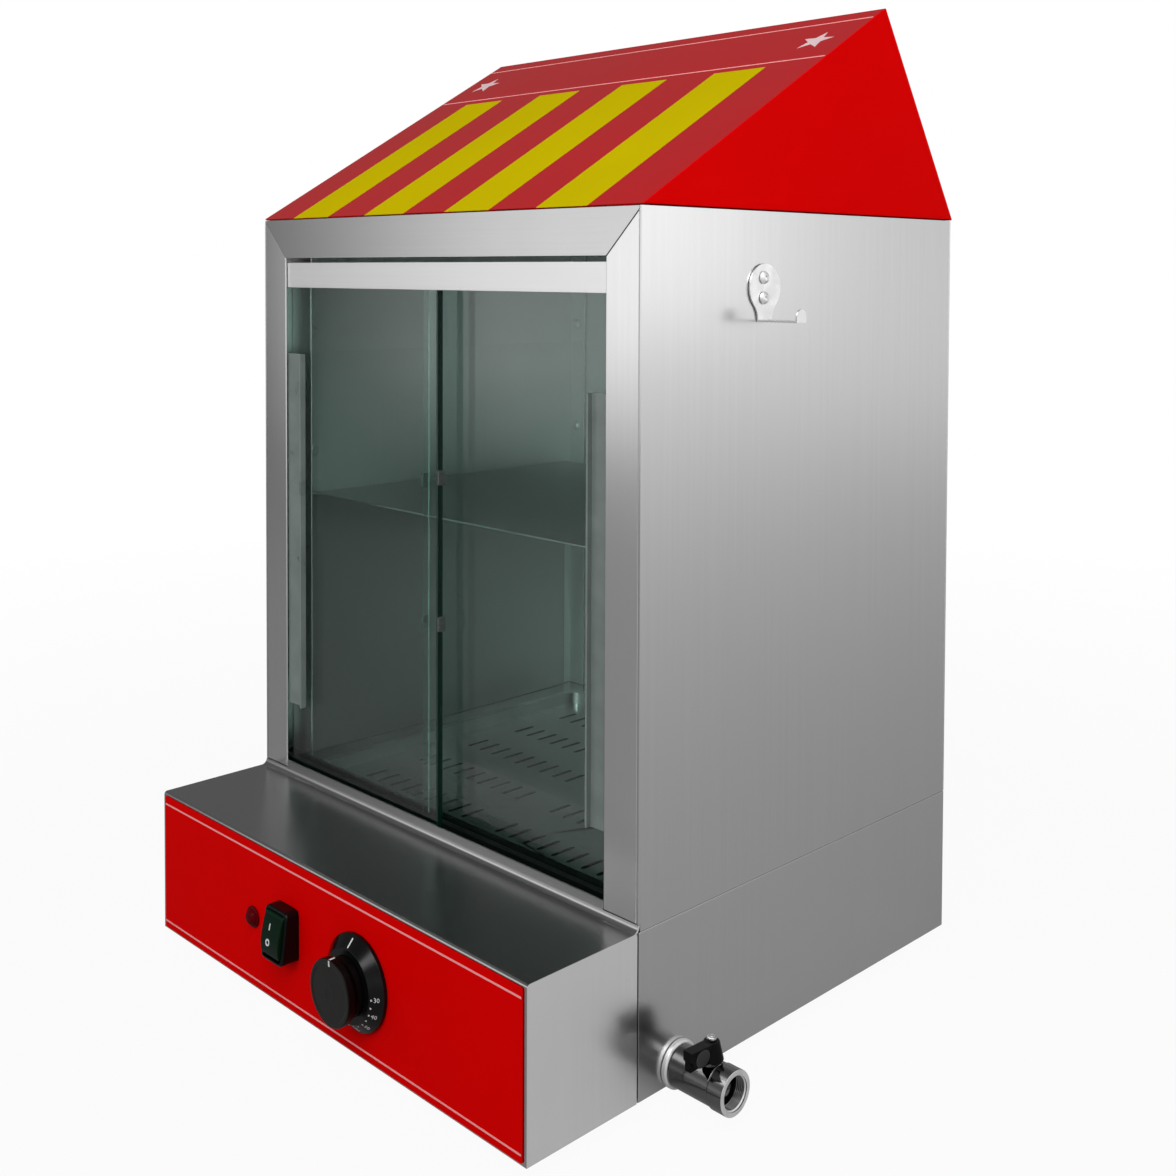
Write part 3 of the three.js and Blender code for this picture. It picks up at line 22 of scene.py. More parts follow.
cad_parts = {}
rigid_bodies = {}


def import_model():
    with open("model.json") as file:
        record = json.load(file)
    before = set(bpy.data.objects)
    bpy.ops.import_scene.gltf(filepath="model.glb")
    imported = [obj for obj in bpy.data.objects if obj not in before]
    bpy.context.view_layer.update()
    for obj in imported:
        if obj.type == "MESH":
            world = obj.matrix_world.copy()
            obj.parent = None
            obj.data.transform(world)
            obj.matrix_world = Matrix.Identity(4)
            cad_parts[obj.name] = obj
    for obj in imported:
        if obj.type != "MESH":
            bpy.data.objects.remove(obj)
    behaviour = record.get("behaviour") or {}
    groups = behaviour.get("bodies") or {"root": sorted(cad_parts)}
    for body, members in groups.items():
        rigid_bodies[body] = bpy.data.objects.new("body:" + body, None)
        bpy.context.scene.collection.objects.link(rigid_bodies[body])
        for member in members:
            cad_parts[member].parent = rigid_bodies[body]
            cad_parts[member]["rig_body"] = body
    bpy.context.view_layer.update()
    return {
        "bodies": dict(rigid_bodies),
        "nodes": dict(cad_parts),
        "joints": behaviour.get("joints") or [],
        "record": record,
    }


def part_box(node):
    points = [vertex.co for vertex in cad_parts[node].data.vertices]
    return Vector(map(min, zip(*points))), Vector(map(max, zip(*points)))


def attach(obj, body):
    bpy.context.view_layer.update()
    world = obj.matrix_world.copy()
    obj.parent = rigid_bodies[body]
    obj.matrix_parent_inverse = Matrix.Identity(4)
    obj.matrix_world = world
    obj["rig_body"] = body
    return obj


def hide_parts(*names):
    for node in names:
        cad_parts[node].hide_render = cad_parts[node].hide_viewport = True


LOG = logging.getLogger("steamer")
MM = 0.001
MERGE_DISTANCE = 2e-6
FLAT_ANGLE = math.radians(0.6)
EDGE_ANGLE = math.radians(33)
STRAIGHT_ANGLE = math.radians(170)
LONGEST_EASE = 0.45
STAR_WAIST = 0.42
STAND_OFF = 0.02
FACING = 0.9
SMALL_STEPS = 48
LARGE_STEPS = 96
GLOSS_RANGE = (0.85, 1.15)
FULL_TURN = 2 * math.pi
RIGHT, BACK, UP = Vector((1, 0, 0)), Vector((0, 1, 0)), Vector((0, 0, 1))
SIDES = ("left", "right")

Colour = tuple[float, float, float]
Point = tuple[float, float]
Shape = bmesh.types.BMesh
Socket = bpy.types.NodeSocket


def grey(value: float) -> Colour:
    """Returns a neutral colour of that value."""
    return (value, value, value)


def scaled(colour: Colour, share: float) -> Colour:
    """Returns a colour with its channels multiplied by a share, to 1 at most."""
    red, green, blue = (min(channel * share, 1.0) for channel in colour)
    return (red, green, blue)


def placed(name: str, data: bpy.types.ID) -> bpy.types.Object:
    """Returns a new object of the scene.

    Args:
        name: The object's name.
        data: Its mesh, curve, camera or lamp data.

    Returns:
        The object.
    """
    item = bpy.data.objects.new(name, data)
    bpy.context.scene.collection.objects.link(item)
    return item


# Finishes


class Grain(Enum):
    """The direction that a sheet was brushed in, as the stretch of its pattern on each axis."""

    ALONG_X = (0.012, 1.0, 1.0)
    ALONG_Z = (1.0, 1.0, 0.012)
    NONE = (1.0, 1.0, 1.0)


class Tree:
    """The node tree of a material, a world or a lamp, filled a node at a time."""

    def __init__(self, owner: bpy.types.Material | bpy.types.World | bpy.types.Light) -> None:
        """Starts an empty node tree.

        Args:
            owner: The material, world or lamp that the tree belongs to.
        """
        owner.use_nodes = True
        self.nodes = owner.node_tree.nodes
        self.links = owner.node_tree.links
        self.nodes.clear()

    def add(self, kind: str, feeds: dict | None = None, **settings: str | bool) -> bpy.types.Node:
        """Adds a node.

        Args:
            kind: The node's type, without the word that all shader nodes start with.
            feeds: What goes into its inputs: a socket to link, or a constant.
            settings: Its other settings.

        Returns:
            The node.
        """
        node = self.nodes.new("ShaderNode" + kind)
        for name, value in settings.items():
            setattr(node, name, value)
        for name, value in (feeds or {}).items():
            target = node.inputs[name]
            if isinstance(value, Socket):
                self.links.new(value, target)
            else:
                target.default_value = (*value, 1.0) if target.type == "RGBA" else value
        return node

    def noise(
        self,
        scale: float,
        stretch: Sequence[float] = (1.0, 1.0, 1.0),
        detail: float = 3.0,
        roughness: float = 0.5,
        shift: float = 0.0,
    ) -> Socket:
        """Adds a noise on Object coordinates.

        Args:
            scale: How many features there are in a metre.
            stretch: The share of that on each axis.
            detail: How many finer layers there are.
            roughness: How strong the finer layers are.
            shift: How far the pattern is moved, in metres.

        Returns:
            The socket with the noise's value.
        """
        place = self.add("TexCoord").outputs["Object"]
        moved = self.add("Mapping", {"Vector": place, "Location": (shift, shift, shift), "Scale": stretch})
        feeds = {"Vector": moved.outputs["Vector"], "Scale": scale, "Detail": detail, "Roughness": roughness}
        return self.add("TexNoise", feeds).outputs["Fac"]

    def ranged(
        self, source: Socket, low: float = 0.0, high: float = 1.0, start: float = 0.3, end: float = 0.7
    ) -> Socket:
        """Spreads a pattern's values over a range.

        Args:
            source: The pattern.
            low: The value at the pattern's start.
            high: The value at the pattern's end.
            start: Where in the pattern's values the range starts.
            end: Where in the pattern's values the range ends.

        Returns:
            The socket with the new values.
        """
        feeds = {"Value": source, "From Min": start, "From Max": end, "To Min": low, "To Max": high}
        return self.add("MapRange", feeds).outputs["Result"]

    def calc(self, operation: str, first: Socket, second: Socket | float, clamped: bool = False) -> Socket:
        """Works out a value from two others.

        Args:
            operation: The name of the operation.
            first: The first value.
            second: The second value.
            clamped: Whether the result stays between 0 and 1.

        Returns:
            The socket with the result.
        """
        return self.add("Math", {0: first, 1: second}, operation=operation, use_clamp=clamped).outputs[0]

    def mixed(self, source: Socket, first: Colour, second: Colour) -> Socket:
        """Returns the blend of two colours by a pattern, from 0 for the first to 1 for the second."""
        return self.add("Mix", {0: source, 6: first, 7: second}, data_type="RGBA").outputs[2]

    def bumped(self, height: Socket, depth: float, **below: Socket) -> Socket:
        """Turns a pattern into relief.

        Args:
            height: The pattern.
            depth: The relief's depth in millimetres.
            below: Another relief that this one lies on, as Normal.

        Returns:
            The socket with the normal.
        """
        feeds = {"Strength": 1.0, "Distance": depth * MM, "Height": height, **below}
        return self.add("Bump", feeds).outputs["Normal"]

    def blended(self, share: Socket, first: Socket, second: Socket) -> Socket:
        """Returns the blend of two shaders, with the second one's share."""
        return self.add("MixShader", {0: share, 1: first, 2: second}).outputs["Shader"]


class SurfaceTree(Tree):
    """The node tree of a material with one Principled surface."""

    def __init__(self, name: str, **values: float | Colour) -> None:
        """Starts the material.

        Args:
            name: The material's name.
            values: What is the same all over, by the socket's name with underscores for spaces.
        """
        self.material = bpy.data.materials.new(name)
        super().__init__(self.material)
        feeds = {socket.replace("_", " "): value for socket, value in values.items()}
        self.surface = self.add("BsdfPrincipled", feeds)
        self.output = self.add("OutputMaterial", {"Surface": self.surface.outputs["BSDF"]})

    def driven(self, **sources: Socket) -> bpy.types.Material:
        """Links sockets of the surface to patterns.

        Args:
            sources: The patterns, by the socket's name with underscores for spaces.

        Returns:
            The material.
        """
        for name, source in sources.items():
            self.links.new(source, self.surface.inputs[name.replace("_", " ")])
        return self.material

    def cover(self, share: Socket, shader: Socket) -> None:
        """Shows another shader in place of the surface, by that share."""
        blend = self.blended(share, self.surface.outputs["BSDF"], shader)
        self.links.new(blend, self.output.inputs["Surface"])


@dataclass(frozen=True)
class Steel:
    """A bare steel sheet: fine brush lines on a sheet that isn't quite flat."""

    name: str
    grain: Grain
    tone: float = 0.60
    roughness: float = 0.25
    spread: float = 0.02
    contrast: float = 0.012
    line_depth: float = 0.0007
    line_scale: float = 4200.0
    broad_factor: float = 9.0
    smudge_scale: float = 9.0
    wave_depth: float = 0.05
    wave_scale: float = 7.0

    def build(self) -> bpy.types.Material:
        """Builds the finish's material.

        Returns:
            The material.
        """
        tree = SurfaceTree(self.name, Metallic=1.0)
        lines = tree.noise(self.line_scale, self.grain.value, detail=4.0, roughness=0.7)
        broad = tree.noise(self.line_scale / self.broad_factor, self.grain.value, detail=2.0, shift=0.3)
        smudge = tree.noise(self.smudge_scale, roughness=0.6, shift=0.7)
        waves = tree.noise(self.wave_scale, detail=1.0, shift=1.1)
        steel = grey(self.tone)
        dark, light = scaled(steel, 1 - self.contrast), scaled(steel, 1 + self.contrast)
        brushed = tree.ranged(lines, self.roughness - self.spread, self.roughness)
        return tree.driven(
            Base_Color=tree.mixed(tree.ranged(broad), dark, light),
            Roughness=tree.calc("ADD", brushed, tree.ranged(smudge, 0.0, self.spread)),
            Normal=tree.bumped(lines, self.line_depth, Normal=tree.bumped(waves, self.wave_depth)),
        )


@dataclass(frozen=True)
class Film:
    """A printed film or paint on sheet: an even colour with a slight texture and gloss."""

    name: str
    colour: Colour
    roughness: float = 0.3
    index: float = 1.12
    cloud_scale: float = 11.0
    texture_scale: float = 900.0
    texture_depth: float = 0.002
    wave_depth: float = 0.2
    wave_scale: float = 8.0
    variation: float = 0.05

    def build(self) -> bpy.types.Material:
        """Builds the finish's material.

        Returns:
            The material.
        """
        tree = SurfaceTree(self.name, IOR=self.index)
        cloud = tree.noise(self.cloud_scale, shift=0.2)
        texture = tree.noise(self.texture_scale, detail=2.0)
        waves = tree.noise(self.wave_scale, detail=1.0, shift=0.9)
        return tree.driven(
            Base_Color=tree.mixed(tree.ranged(cloud), scaled(self.colour, 1 - self.variation), self.colour),
            Roughness=tree.ranged(cloud, *(self.roughness * share for share in GLOSS_RANGE)),
            Normal=tree.bumped(texture, self.texture_depth, Normal=tree.bumped(waves, self.wave_depth)),
        )


@dataclass(frozen=True)
class Moulding:
    """A moulded plastic or rubber with a fine grain and dust in its pores."""

    name: str
    colour: Colour
    roughness: float = 0.35
    cloud_scale: float = 60.0
    grain_scale: float = 1400.0
    grain_depth: float = 0.006
    shine: float = 0.5
    coat: float = 0.0
    transmission: float = 0.0
    variation: float = 0.25

    def build(self) -> bpy.types.Material:
        """Builds the finish's material.

        Returns:
            The material.
        """
        tree = SurfaceTree(
            self.name,
            Specular_IOR_Level=self.shine,
            Coat_Weight=self.coat,
            Coat_Roughness=0.08,
            Transmission_Weight=self.transmission,
        )
        pores = tree.noise(self.grain_scale, detail=2.0)
        cloud = tree.noise(self.cloud_scale, shift=0.4)
        return tree.driven(
            Base_Color=tree.mixed(tree.ranged(cloud), self.colour, scaled(self.colour, 1 + self.variation)),
            Roughness=tree.ranged(cloud, *(self.roughness * share for share in GLOSS_RANGE)),
            Normal=tree.bumped(pores, self.grain_depth),
        )


@dataclass(frozen=True)
class Plating:
    """Chrome or nickel on brass, or bare copper, with a faint polish haze."""

    name: str
    colour: Colour
    roughness: float = 0.08
    haze_scale: float = 120.0
    ripple_scale: float = 260.0
    ripple_depth: float = 0.01

    def build(self) -> bpy.types.Material:
        """Builds the finish's material.

        Returns:
            The material.
        """
        tree = SurfaceTree(self.name, Metallic=1.0, Base_Color=self.colour)
        haze = tree.noise(self.haze_scale, detail=4.0, roughness=0.6)
        ripple = tree.noise(self.ripple_scale, detail=2.0, shift=0.5)
        return tree.driven(
            Roughness=tree.ranged(haze, self.roughness * 0.7, self.roughness * 1.6),
            Normal=tree.bumped(ripple, self.ripple_depth),
        )


@dataclass(frozen=True)
class PaneGlass:
    """Tinted float glass that shines, hardly bends what is behind it and lets the lamps light it."""

    name: str
    tint: Colour
    lamp_tint: Colour
    bending: float = 1.02
    index: float = 1.5
    haze: float = 0.012

    def build(self) -> bpy.types.Material:
        """Builds the finish's material.

        Returns:
            The material.
        """
        tree = SurfaceTree(
            self.name,
            Base_Color=self.tint,
            Transmission_Weight=1.0,
            IOR=self.bending,
            Coat_Weight=1.0,
            Coat_IOR=self.index,
            Coat_Roughness=0.01,
        )
        clear = tree.add("BsdfTransparent", {"Color": self.lamp_tint}).outputs["BSDF"]
        tree.cover(tree.add("LightPath").outputs["Is Shadow Ray"], clear)
        return tree.driven(Roughness=tree.ranged(tree.noise(40.0), 0.0, self.haze))


BRUSHED_ACROSS = Steel("brushed_steel_across", Grain.ALONG_X, tone=0.52)
BRUSHED_UP = Steel("brushed_steel_up", Grain.ALONG_Z)
CONTROL_STEEL = Steel("control_box_steel", Grain.ALONG_X, tone=0.44, roughness=0.25)
# Painted light: the control box's sides get a far lighter copy of the steel of its top and front, though all
# are one folded sheet.
CONTROL_SIDE_PAINTED_LIGHT = Steel("control_box_side_steel", Grain.ALONG_Z, tone=0.97, roughness=0.24)
POST_STEEL = Steel("frame_post_steel", Grain.ALONG_Z, tone=0.69)
HEADER_STEEL = Steel("header_steel", Grain.ALONG_X, tone=0.93, roughness=0.40)
LINING_STEEL = Steel("lining_steel", Grain.ALONG_Z, tone=0.78, roughness=0.52)
POLISHED = Steel("polished_steel", Grain.ALONG_X, tone=0.46, roughness=0.30)
TRAY_STEEL = Steel("tray_steel", Grain.ALONG_X, tone=0.62, roughness=0.28, wave_depth=0.02)
GALVANISED = Steel("galvanised_steel", Grain.NONE, tone=0.48, roughness=0.42, spread=0.1, line_scale=160.0)
# Painted shade: near black steel that stands in for the dim tank below the tray, far darker than galvanised
# sheet.
TANK_STEEL_PAINTED_SHADE = Steel("tank_steel", Grain.NONE, tone=0.12, roughness=0.45, line_scale=400.0)
RED_FASCIA = Film("red_fascia_film", (0.68, 0.0002, 0.0003), roughness=0.38, index=1.05)
RED_ROOF = Film("red_canopy_film", (0.86, 0.0003, 0.0005), roughness=0.14, index=1.04, wave_depth=0.05)
RED_SLOPE = Film("red_slope_film", (0.42, 0.003, 0.006), roughness=0.2, index=1.25, wave_depth=0.05)
YELLOW = Film("yellow_stripe_film", (0.48, 0.385, 0.0004), roughness=0.5, index=1.02)
PINK_LINE = Film("white_line_film", (0.86, 0.34, 0.34), roughness=0.4)
ROOF_LINE = Film("white_star_film", (0.66, 0.50, 0.52), roughness=0.4)
WHITE_PRINT = Film("white_scale_print", (0.66, 0.68, 0.68), roughness=0.5, wave_depth=0.0)
DOOR_GLASS = PaneGlass("door_glass", (0.70, 0.85, 0.80), (0.68, 0.84, 0.79))
GLASS_EDGE = Moulding("glass_edge", (0.003, 0.017, 0.012), roughness=0.2, coat=0.3)
GLASS_ARRIS = Moulding("glass_arris", (0.20, 0.26, 0.24), roughness=0.3)
HANDLE_STRIP = Moulding("handle_strip", (0.155, 0.185, 0.176), roughness=0.32, grain_depth=0.002)
CLEAR_BUMPER = Moulding("clear_bumper", (0.14, 0.16, 0.15), roughness=0.25, transmission=0.6)
BLACK_PLASTIC = Moulding("black_plastic", (0.0022, 0.0022, 0.0024), 0.22, grain_depth=0.003, shine=0.22)
SWITCH_PLASTIC = Moulding("switch_plastic", (0.0012, 0.0012, 0.0013), 0.3, grain_depth=0.003, shine=0.16)
# The thumb pads: a rougher plastic, painted grey against the black lever as a painted highlight.
LEVER_PAD_PAINTED_HIGHLIGHT = Moulding("lever_pad_plastic", (0.022, 0.022, 0.023), roughness=0.45)
KNOB_PLASTIC = Moulding("knob_plastic", grey(0.0010), roughness=0.34, shine=0.1)
# The knob's face: a coarser grain, and a colour ten times lighter than the flank's that is a painted sheen.
KNOB_FACE_GRAIN_AND_SHEEN = Moulding("knob_face_plastic", (0.010, 0.010, 0.0095), 0.4, grain_depth=0.012, shine=0.2)
FOOT_RUBBER = Moulding("foot_rubber", grey(0.015), roughness=0.75, grain_depth=0.03)
GREEN_ROCKER = Moulding("green_rocker", (0.0002, 0.0105, 0.0042), 0.22, grain_depth=0.001, shine=0.1)
RED_LENS = Moulding("red_lens", (0.075, 0.0002, 0.002), roughness=0.3, shine=0.04)
WHITE_PLASTIC = Moulding("white_plastic", (0.72, 0.71, 0.66), roughness=0.5, variation=0.05)
# Painted shade: the lower door track is near black with a green cast, standing in for the shade under the
# panes.
TRACK_PAINTED_SHADE = Moulding("track_shade", (0.0015, 0.0035, 0.0028), roughness=0.5, shine=0.15)
CHROME = Plating("chrome_plating", grey(0.62))
# Painted reflection: near black plating that stands in for the dark surroundings that the barrel mirrors.
NICKEL_PAINTED_REFLECTION = Plating("nickel_barrel", grey(0.15))
SATIN_CHROME = Plating("satin_chrome", grey(0.86), roughness=0.42)
HOOK_STEEL = Plating("hook_steel", grey(0.74), roughness=0.26)
SCREW_STEEL = Plating("screw_steel", grey(0.62), roughness=0.2)
COPPER = Plating("copper_tube", (0.78, 0.36, 0.19), roughness=0.25)

Finish = Steel | Film | Moulding | Plating | PaneGlass


# Shapes


@dataclass(frozen=True)
class Bench:
    """A flat working plane: a point on it, two directions along it and its thickness direction."""

    start: Vector
    across: Vector
    up: Vector

    @property
    def out(self) -> Vector:
        """Returns the direction out of the plane."""
        return self.across.cross(self.up).normalized()

    def at(self, u: float, v: float, w: float = 0.0) -> Vector:
        """Returns the point at those millimetres across, up and out."""
        return self.start + (self.across * u + self.up * v + self.out * w) * MM


def level_bench(node: str, height: float) -> Bench:
    """Returns a level plane over the middle of a CAD node, at a height in metres."""
    low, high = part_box(node)
    return Bench(Vector(((low.x + high.x) / 2, (low.y + high.y) / 2, height)), RIGHT, BACK)


def add_plate(shape: Shape, bench: Bench, outline: Sequence[Point], low: float, high: float) -> None:
    """Adds a closed plate with that outline.

    Args:
        shape: The mesh that it goes into.
        bench: The plane of the outline.
        outline: The corners in order, in millimetres.
        low: How far out the plate's back is.
        high: How far out the plate's front is.
    """
    face = shape.faces.new([shape.verts.new(bench.at(u, v, low)) for u, v in outline])
    raised = bmesh.ops.extrude_face_region(shape, geom=[face])["geom"]
    corners = [item for item in raised if isinstance(item, bmesh.types.BMVert)]
    bmesh.ops.translate(shape, verts=corners, vec=bench.out * (high - low) * MM)


def plated(plates: Iterable[tuple[Bench, Sequence[Point], float, float]]) -> Shape:
    """Returns a shape of closed plates.

    Args:
        plates: The plane, the outline, the back and the front of each plate.

    Returns:
        The shape.
    """
    shape = bmesh.new()
    for plate in plates:
        add_plate(shape, *plate)
    return shape


def spun(bench: Bench, profile: Sequence[Point], steps: int, closed: bool = False) -> Shape:
    """Returns a turned shape.

    Args:
        bench: The axis runs out of this plane, through its start.
        profile: Pairs of radius and height along the axis, in millimetres.
        steps: How many sides the shape gets.
        closed: Whether the profile is a ring's section, which closes on itself.

    Returns:
        The shape.
    """
    shape = bmesh.new()
    verts = [shape.verts.new(bench.at(radius, 0.0, height)) for radius, height in profile]
    pairs = list(zip(verts, verts[1:]))
    if closed:
        pairs.append((verts[-1], verts[0]))
    edges = [shape.edges.new(pair) for pair in pairs]
    bmesh.ops.spin(
        shape,
        geom=[*verts, *edges],
        cent=bench.start,
        axis=bench.out,
        dvec=(0.0, 0.0, 0.0),
        angle=FULL_TURN,
        steps=steps,
        use_merge=True,
        use_duplicate=False,
    )
    bmesh.ops.remove_doubles(shape, verts=shape.verts, dist=MERGE_DISTANCE)
    return shape


def add_loft(shape: Shape, rings: Sequence[Sequence[Vector]]) -> None:
    """Adds a closed shape through rings of points, with a flat cap on its first and last ring.

    Args:
        shape: The mesh that it goes into.
        rings: The rings in order, each with the same number of points.
    """
    loops = []
    for ring in rings:
        verts = [shape.verts.new(point) for point in ring]
        loops.append([shape.edges.new(pair) for pair in zip(verts, [*verts[1:], verts[0]])])
    for loop, following in zip(loops, loops[1:]):
        bmesh.ops.bridge_loops(shape, edges=[*loop, *following])
    for loop in (loops[0], loops[-1]):
        bmesh.ops.contextual_create(shape, geom=loop)


def eased(points: Sequence[Point], radius: float, steps: int = 4, closed: bool = False) -> list[Point]:
    """Rounds a profile's corners.

    Args:
        points: The profile's corners.
        radius: The radius of the rounding, less where a side is short.
        steps: How many chords each rounding gets.
        closed: Whether the profile closes on itself.

    Returns:
        The profile with rounded corners.
    """
    result: list[Point] = []
    count = len(points)
    for index, corner in enumerate(points):
        here = Vector(corner)
        back = Vector(points[index - 1]) - here
        ahead = Vector(points[(index + 1) % count]) - here
        if not closed and index in (0, count - 1) or back.angle(ahead) > STRAIGHT_ANGLE:
            result.append(corner)
            continue
        reach = radius / math.tan(back.angle(ahead) / 2)
        reach = min(reach, back.length * LONGEST_EASE, ahead.length * LONGEST_EASE)
        first = here + back.normalized() * reach
        last = here + ahead.normalized() * reach
        for step in range(steps + 1):
            share = step / steps
            blend = first.lerp(here, share).lerp(here.lerp(last, share), share)
            result.append((blend.x, blend.y))
    return result


def around(u: float, v: float, radii: Sequence[Point], turn: float = 0.0) -> list[Point]:
    """Returns an outline that goes round a centre.

    Args:
        u: The centre's place across.
        v: The centre's place up.
        radii: The reach across and up of each corner in turn.
        turn: The first corner's angle in degrees.

    Returns:
        The corners.
    """
    angles = [math.radians(turn) + FULL_TURN * step / len(radii) for step in range(len(radii))]
    corners = zip(radii, angles)
    return [(u + across * math.cos(angle), v + up * math.sin(angle)) for (across, up), angle in corners]


def block(u0: float, u1: float, v0: float, v1: float) -> list[Point]:
    """Returns the outline of a rectangle."""
    return [(u0, v0), (u1, v0), (u1, v1), (u0, v1)]


@dataclass
class Workshop:
    """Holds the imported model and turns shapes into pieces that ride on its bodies."""

    frame: dict
    materials: dict[str, bpy.types.Material] = field(default_factory=dict)
    corner: Vector = field(init=False)
    slots: dict[str, str] = field(init=False)

    def __post_init__(self) -> None:
        """Measures where the casing's frame lies."""
        low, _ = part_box("base_shell")
        front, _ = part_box("control_fascia")
        self.corner = Vector((low.x, front.y, low.z))
        self.slots = {part["node"]: part["material_slot"] for part in self.frame["record"]["subparts"]}

    def at(self, x: float, y: float, z: float) -> Vector:
        """Returns a point of the casing's frame in metres in the part's frame."""
        return self.corner + Vector((x, y, z)) * MM

    def front(self, x: float, z: float) -> Bench:
        """Returns the plane of the fascia's face, with its start at that place."""
        return Bench(self.at(x, 0.0, z), RIGHT, UP)

    def material(self, finish: Finish) -> bpy.types.Material:
        """Returns a finish's material, built on first use.

        Args:
            finish: The finish.

        Returns:
            The material.
        """
        if finish.name not in self.materials:
            self.materials[finish.name] = finish.build()
        return self.materials[finish.name]

    def add(
        self,
        shape: Shape,
        name: str,
        finish: Finish,
        node: str,
        replaces: bool = True,
        edge: float = 0.0,
        segments: int = 3,
        recalculate: bool = True,
    ) -> bpy.types.Object:
        """Makes a shape a piece of the steamer.

        Args:
            shape: The mesh, which is used up.
            name: The piece's name.
            finish: The piece's finish.
            node: The CAD node that it stands for or sits on.
            replaces: Whether it stands for that node.
            edge: The width of its eased edges in millimetres, or 0.
            segments: How many strips an eased edge has.
            recalculate: Whether its faces have yet to be turned outwards.

        Returns:
            The piece.
        """
        if recalculate:
            bmesh.ops.recalc_face_normals(shape, faces=shape.faces)
        mesh = bpy.data.meshes.new(name)
        shape.to_mesh(mesh)
        shape.free()
        mesh.shade_smooth()
        mesh.materials.append(self.material(finish))
        piece = placed(name, mesh)
        if edge > 0:
            bevel = piece.modifiers.new("eased edges", "BEVEL")
            bevel.width = edge * MM
            bevel.segments = segments
            bevel.limit_method = "ANGLE"
            bevel.angle_limit = EDGE_ANGLE
        else:
            mesh.set_sharp_from_angle(angle=EDGE_ANGLE)
        shading = piece.modifiers.new("even shading", "WEIGHTED_NORMAL")
        shading.keep_sharp = True
        shading.weight = 90
        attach(piece, self.frame["nodes"][node]["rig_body"])
        if replaces:
            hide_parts(node)
        LOG.info("%s on %s", name, node)
        return piece

    def dress(self, node: str, finish: Finish, edge: float = 0.25, segments: int = 2) -> bpy.types.Object:
        """Puts a CAD node's own shape in its place with eased edges and its finish.

        Args:
            node: The CAD node.
            finish: Its finish.
            edge: The width of its eased edges in millimetres.
            segments: How many strips an eased edge has.

        Returns:
            The piece that stands for the node.
        """
        shape = bmesh.new()
        shape.from_mesh(self.frame["nodes"][node].data)
        bmesh.ops.remove_doubles(shape, verts=shape.verts, dist=MERGE_DISTANCE)
        bmesh.ops.dissolve_limit(
            shape,
            angle_limit=FLAT_ANGLE,
            use_dissolve_boundaries=False,
            verts=shape.verts,
            edges=shape.edges,
        )
        name = f"{node}_finished"
        return self.add(shape, name, finish, node, edge=edge, segments=segments, recalculate=False)

    def paint(
        self, piece: bpy.types.Object, finish: Finish, chosen: Callable[[Vector, Vector], bool]
    ) -> None:
        """Gives some of a piece's faces another finish.

        Args:
            piece: The piece.
            finish: Their finish.
            chosen: Says of a face's normal and centre whether it is one of them.
        """
        mesh = piece.data
        mesh.materials.append(self.material(finish))
        for polygon in mesh.polygons:
            if chosen(polygon.normal, polygon.center):
                polygon.material_index = len(mesh.materials) - 1


# Sub-assemblies


@dataclass
class Casing:
    """The bent sheets of the base and the cabinet."""

    shop: Workshop
    fold: float = 0.7
    sheet_edge: float = 0.3
    lining_edge: float = 0.2

    def build(self) -> None:
        """Dresses the sheets, the tracks and the linings."""
        dress = self.shop.dress
        dress("base_shell", BRUSHED_UP, self.sheet_edge)
        box = dress("control_box_shell", CONTROL_STEEL, self.sheet_edge, 3)
        # Painted light: the sides of the box take the much lighter copy of its steel.
        self.shop.paint(box, CONTROL_SIDE_PAINTED_LIGHT, lambda normal, _: abs(normal.x) > FACING)
        dress("bottom_plate", GALVANISED, self.sheet_edge)
        for side in SIDES:
            dress(f"{side}_side_panel", BRUSHED_UP, self.sheet_edge)
        rear = dress("rear_panel", BRUSHED_UP, self.sheet_edge)
        self.shop.paint(rear, LINING_STEEL, lambda normal, _: normal.y < -FACING)
        dress("cabinet_top_panel", GALVANISED, self.sheet_edge)
        for side in SIDES:
            dress(f"{side}_lining", LINING_STEEL, self.lining_edge)
        for side in SIDES:
            dress(f"{side}_frame_post", POST_STEEL, self.fold)
        dress("top_frame_rail", BRUSHED_ACROSS, self.fold)
        # Painted shade: the track takes the near black green finish.
        dress("lower_door_track", TRACK_PAINTED_SHADE, self.lining_edge)
        dress("door_header", HEADER_STEEL, self.sheet_edge)


@dataclass
class Feet:
    """The rubber feet, each with a screw in its recess."""

    shop: Workshop
    names: tuple[str, ...] = ("front_left_foot", "front_right_foot", "rear_left_foot", "rear_right_foot")
    top_radius: float = 12.0
    sole_radius: float = 10.5
    height: float = 8.0
    recess_radius: float = 5.0
    recess_depth: float = 4.0
    head_radius: float = 3.6
    head_height: float = 2.0
    screw_steps: int = 32

    def build(self) -> None:
        """Builds each foot and its screw."""
        hole, depth, head, top = self.recess_radius, self.recess_depth, self.head_radius, self.height
        foot = [(0.0, depth), (hole, depth), (hole, 0.0), (self.sole_radius, 0.0), (self.top_radius, top)]
        rubber = eased([*foot, (0.0, top)], 1.1)
        end, steps = depth - self.head_height, self.screw_steps
        screw = eased([(0.0, depth), (head, depth), (head * 0.8, end + 0.3), (0.0, end)], 0.6)
        for name in self.names:
            bench = level_bench(name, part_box(name)[0].z)
            self.shop.add(spun(bench, rubber, SMALL_STEPS), f"{name}_rubber", FOOT_RUBBER, name)
            self.shop.add(spun(bench, screw, steps), f"{name}_screw", SCREW_STEEL, name, replaces=False)


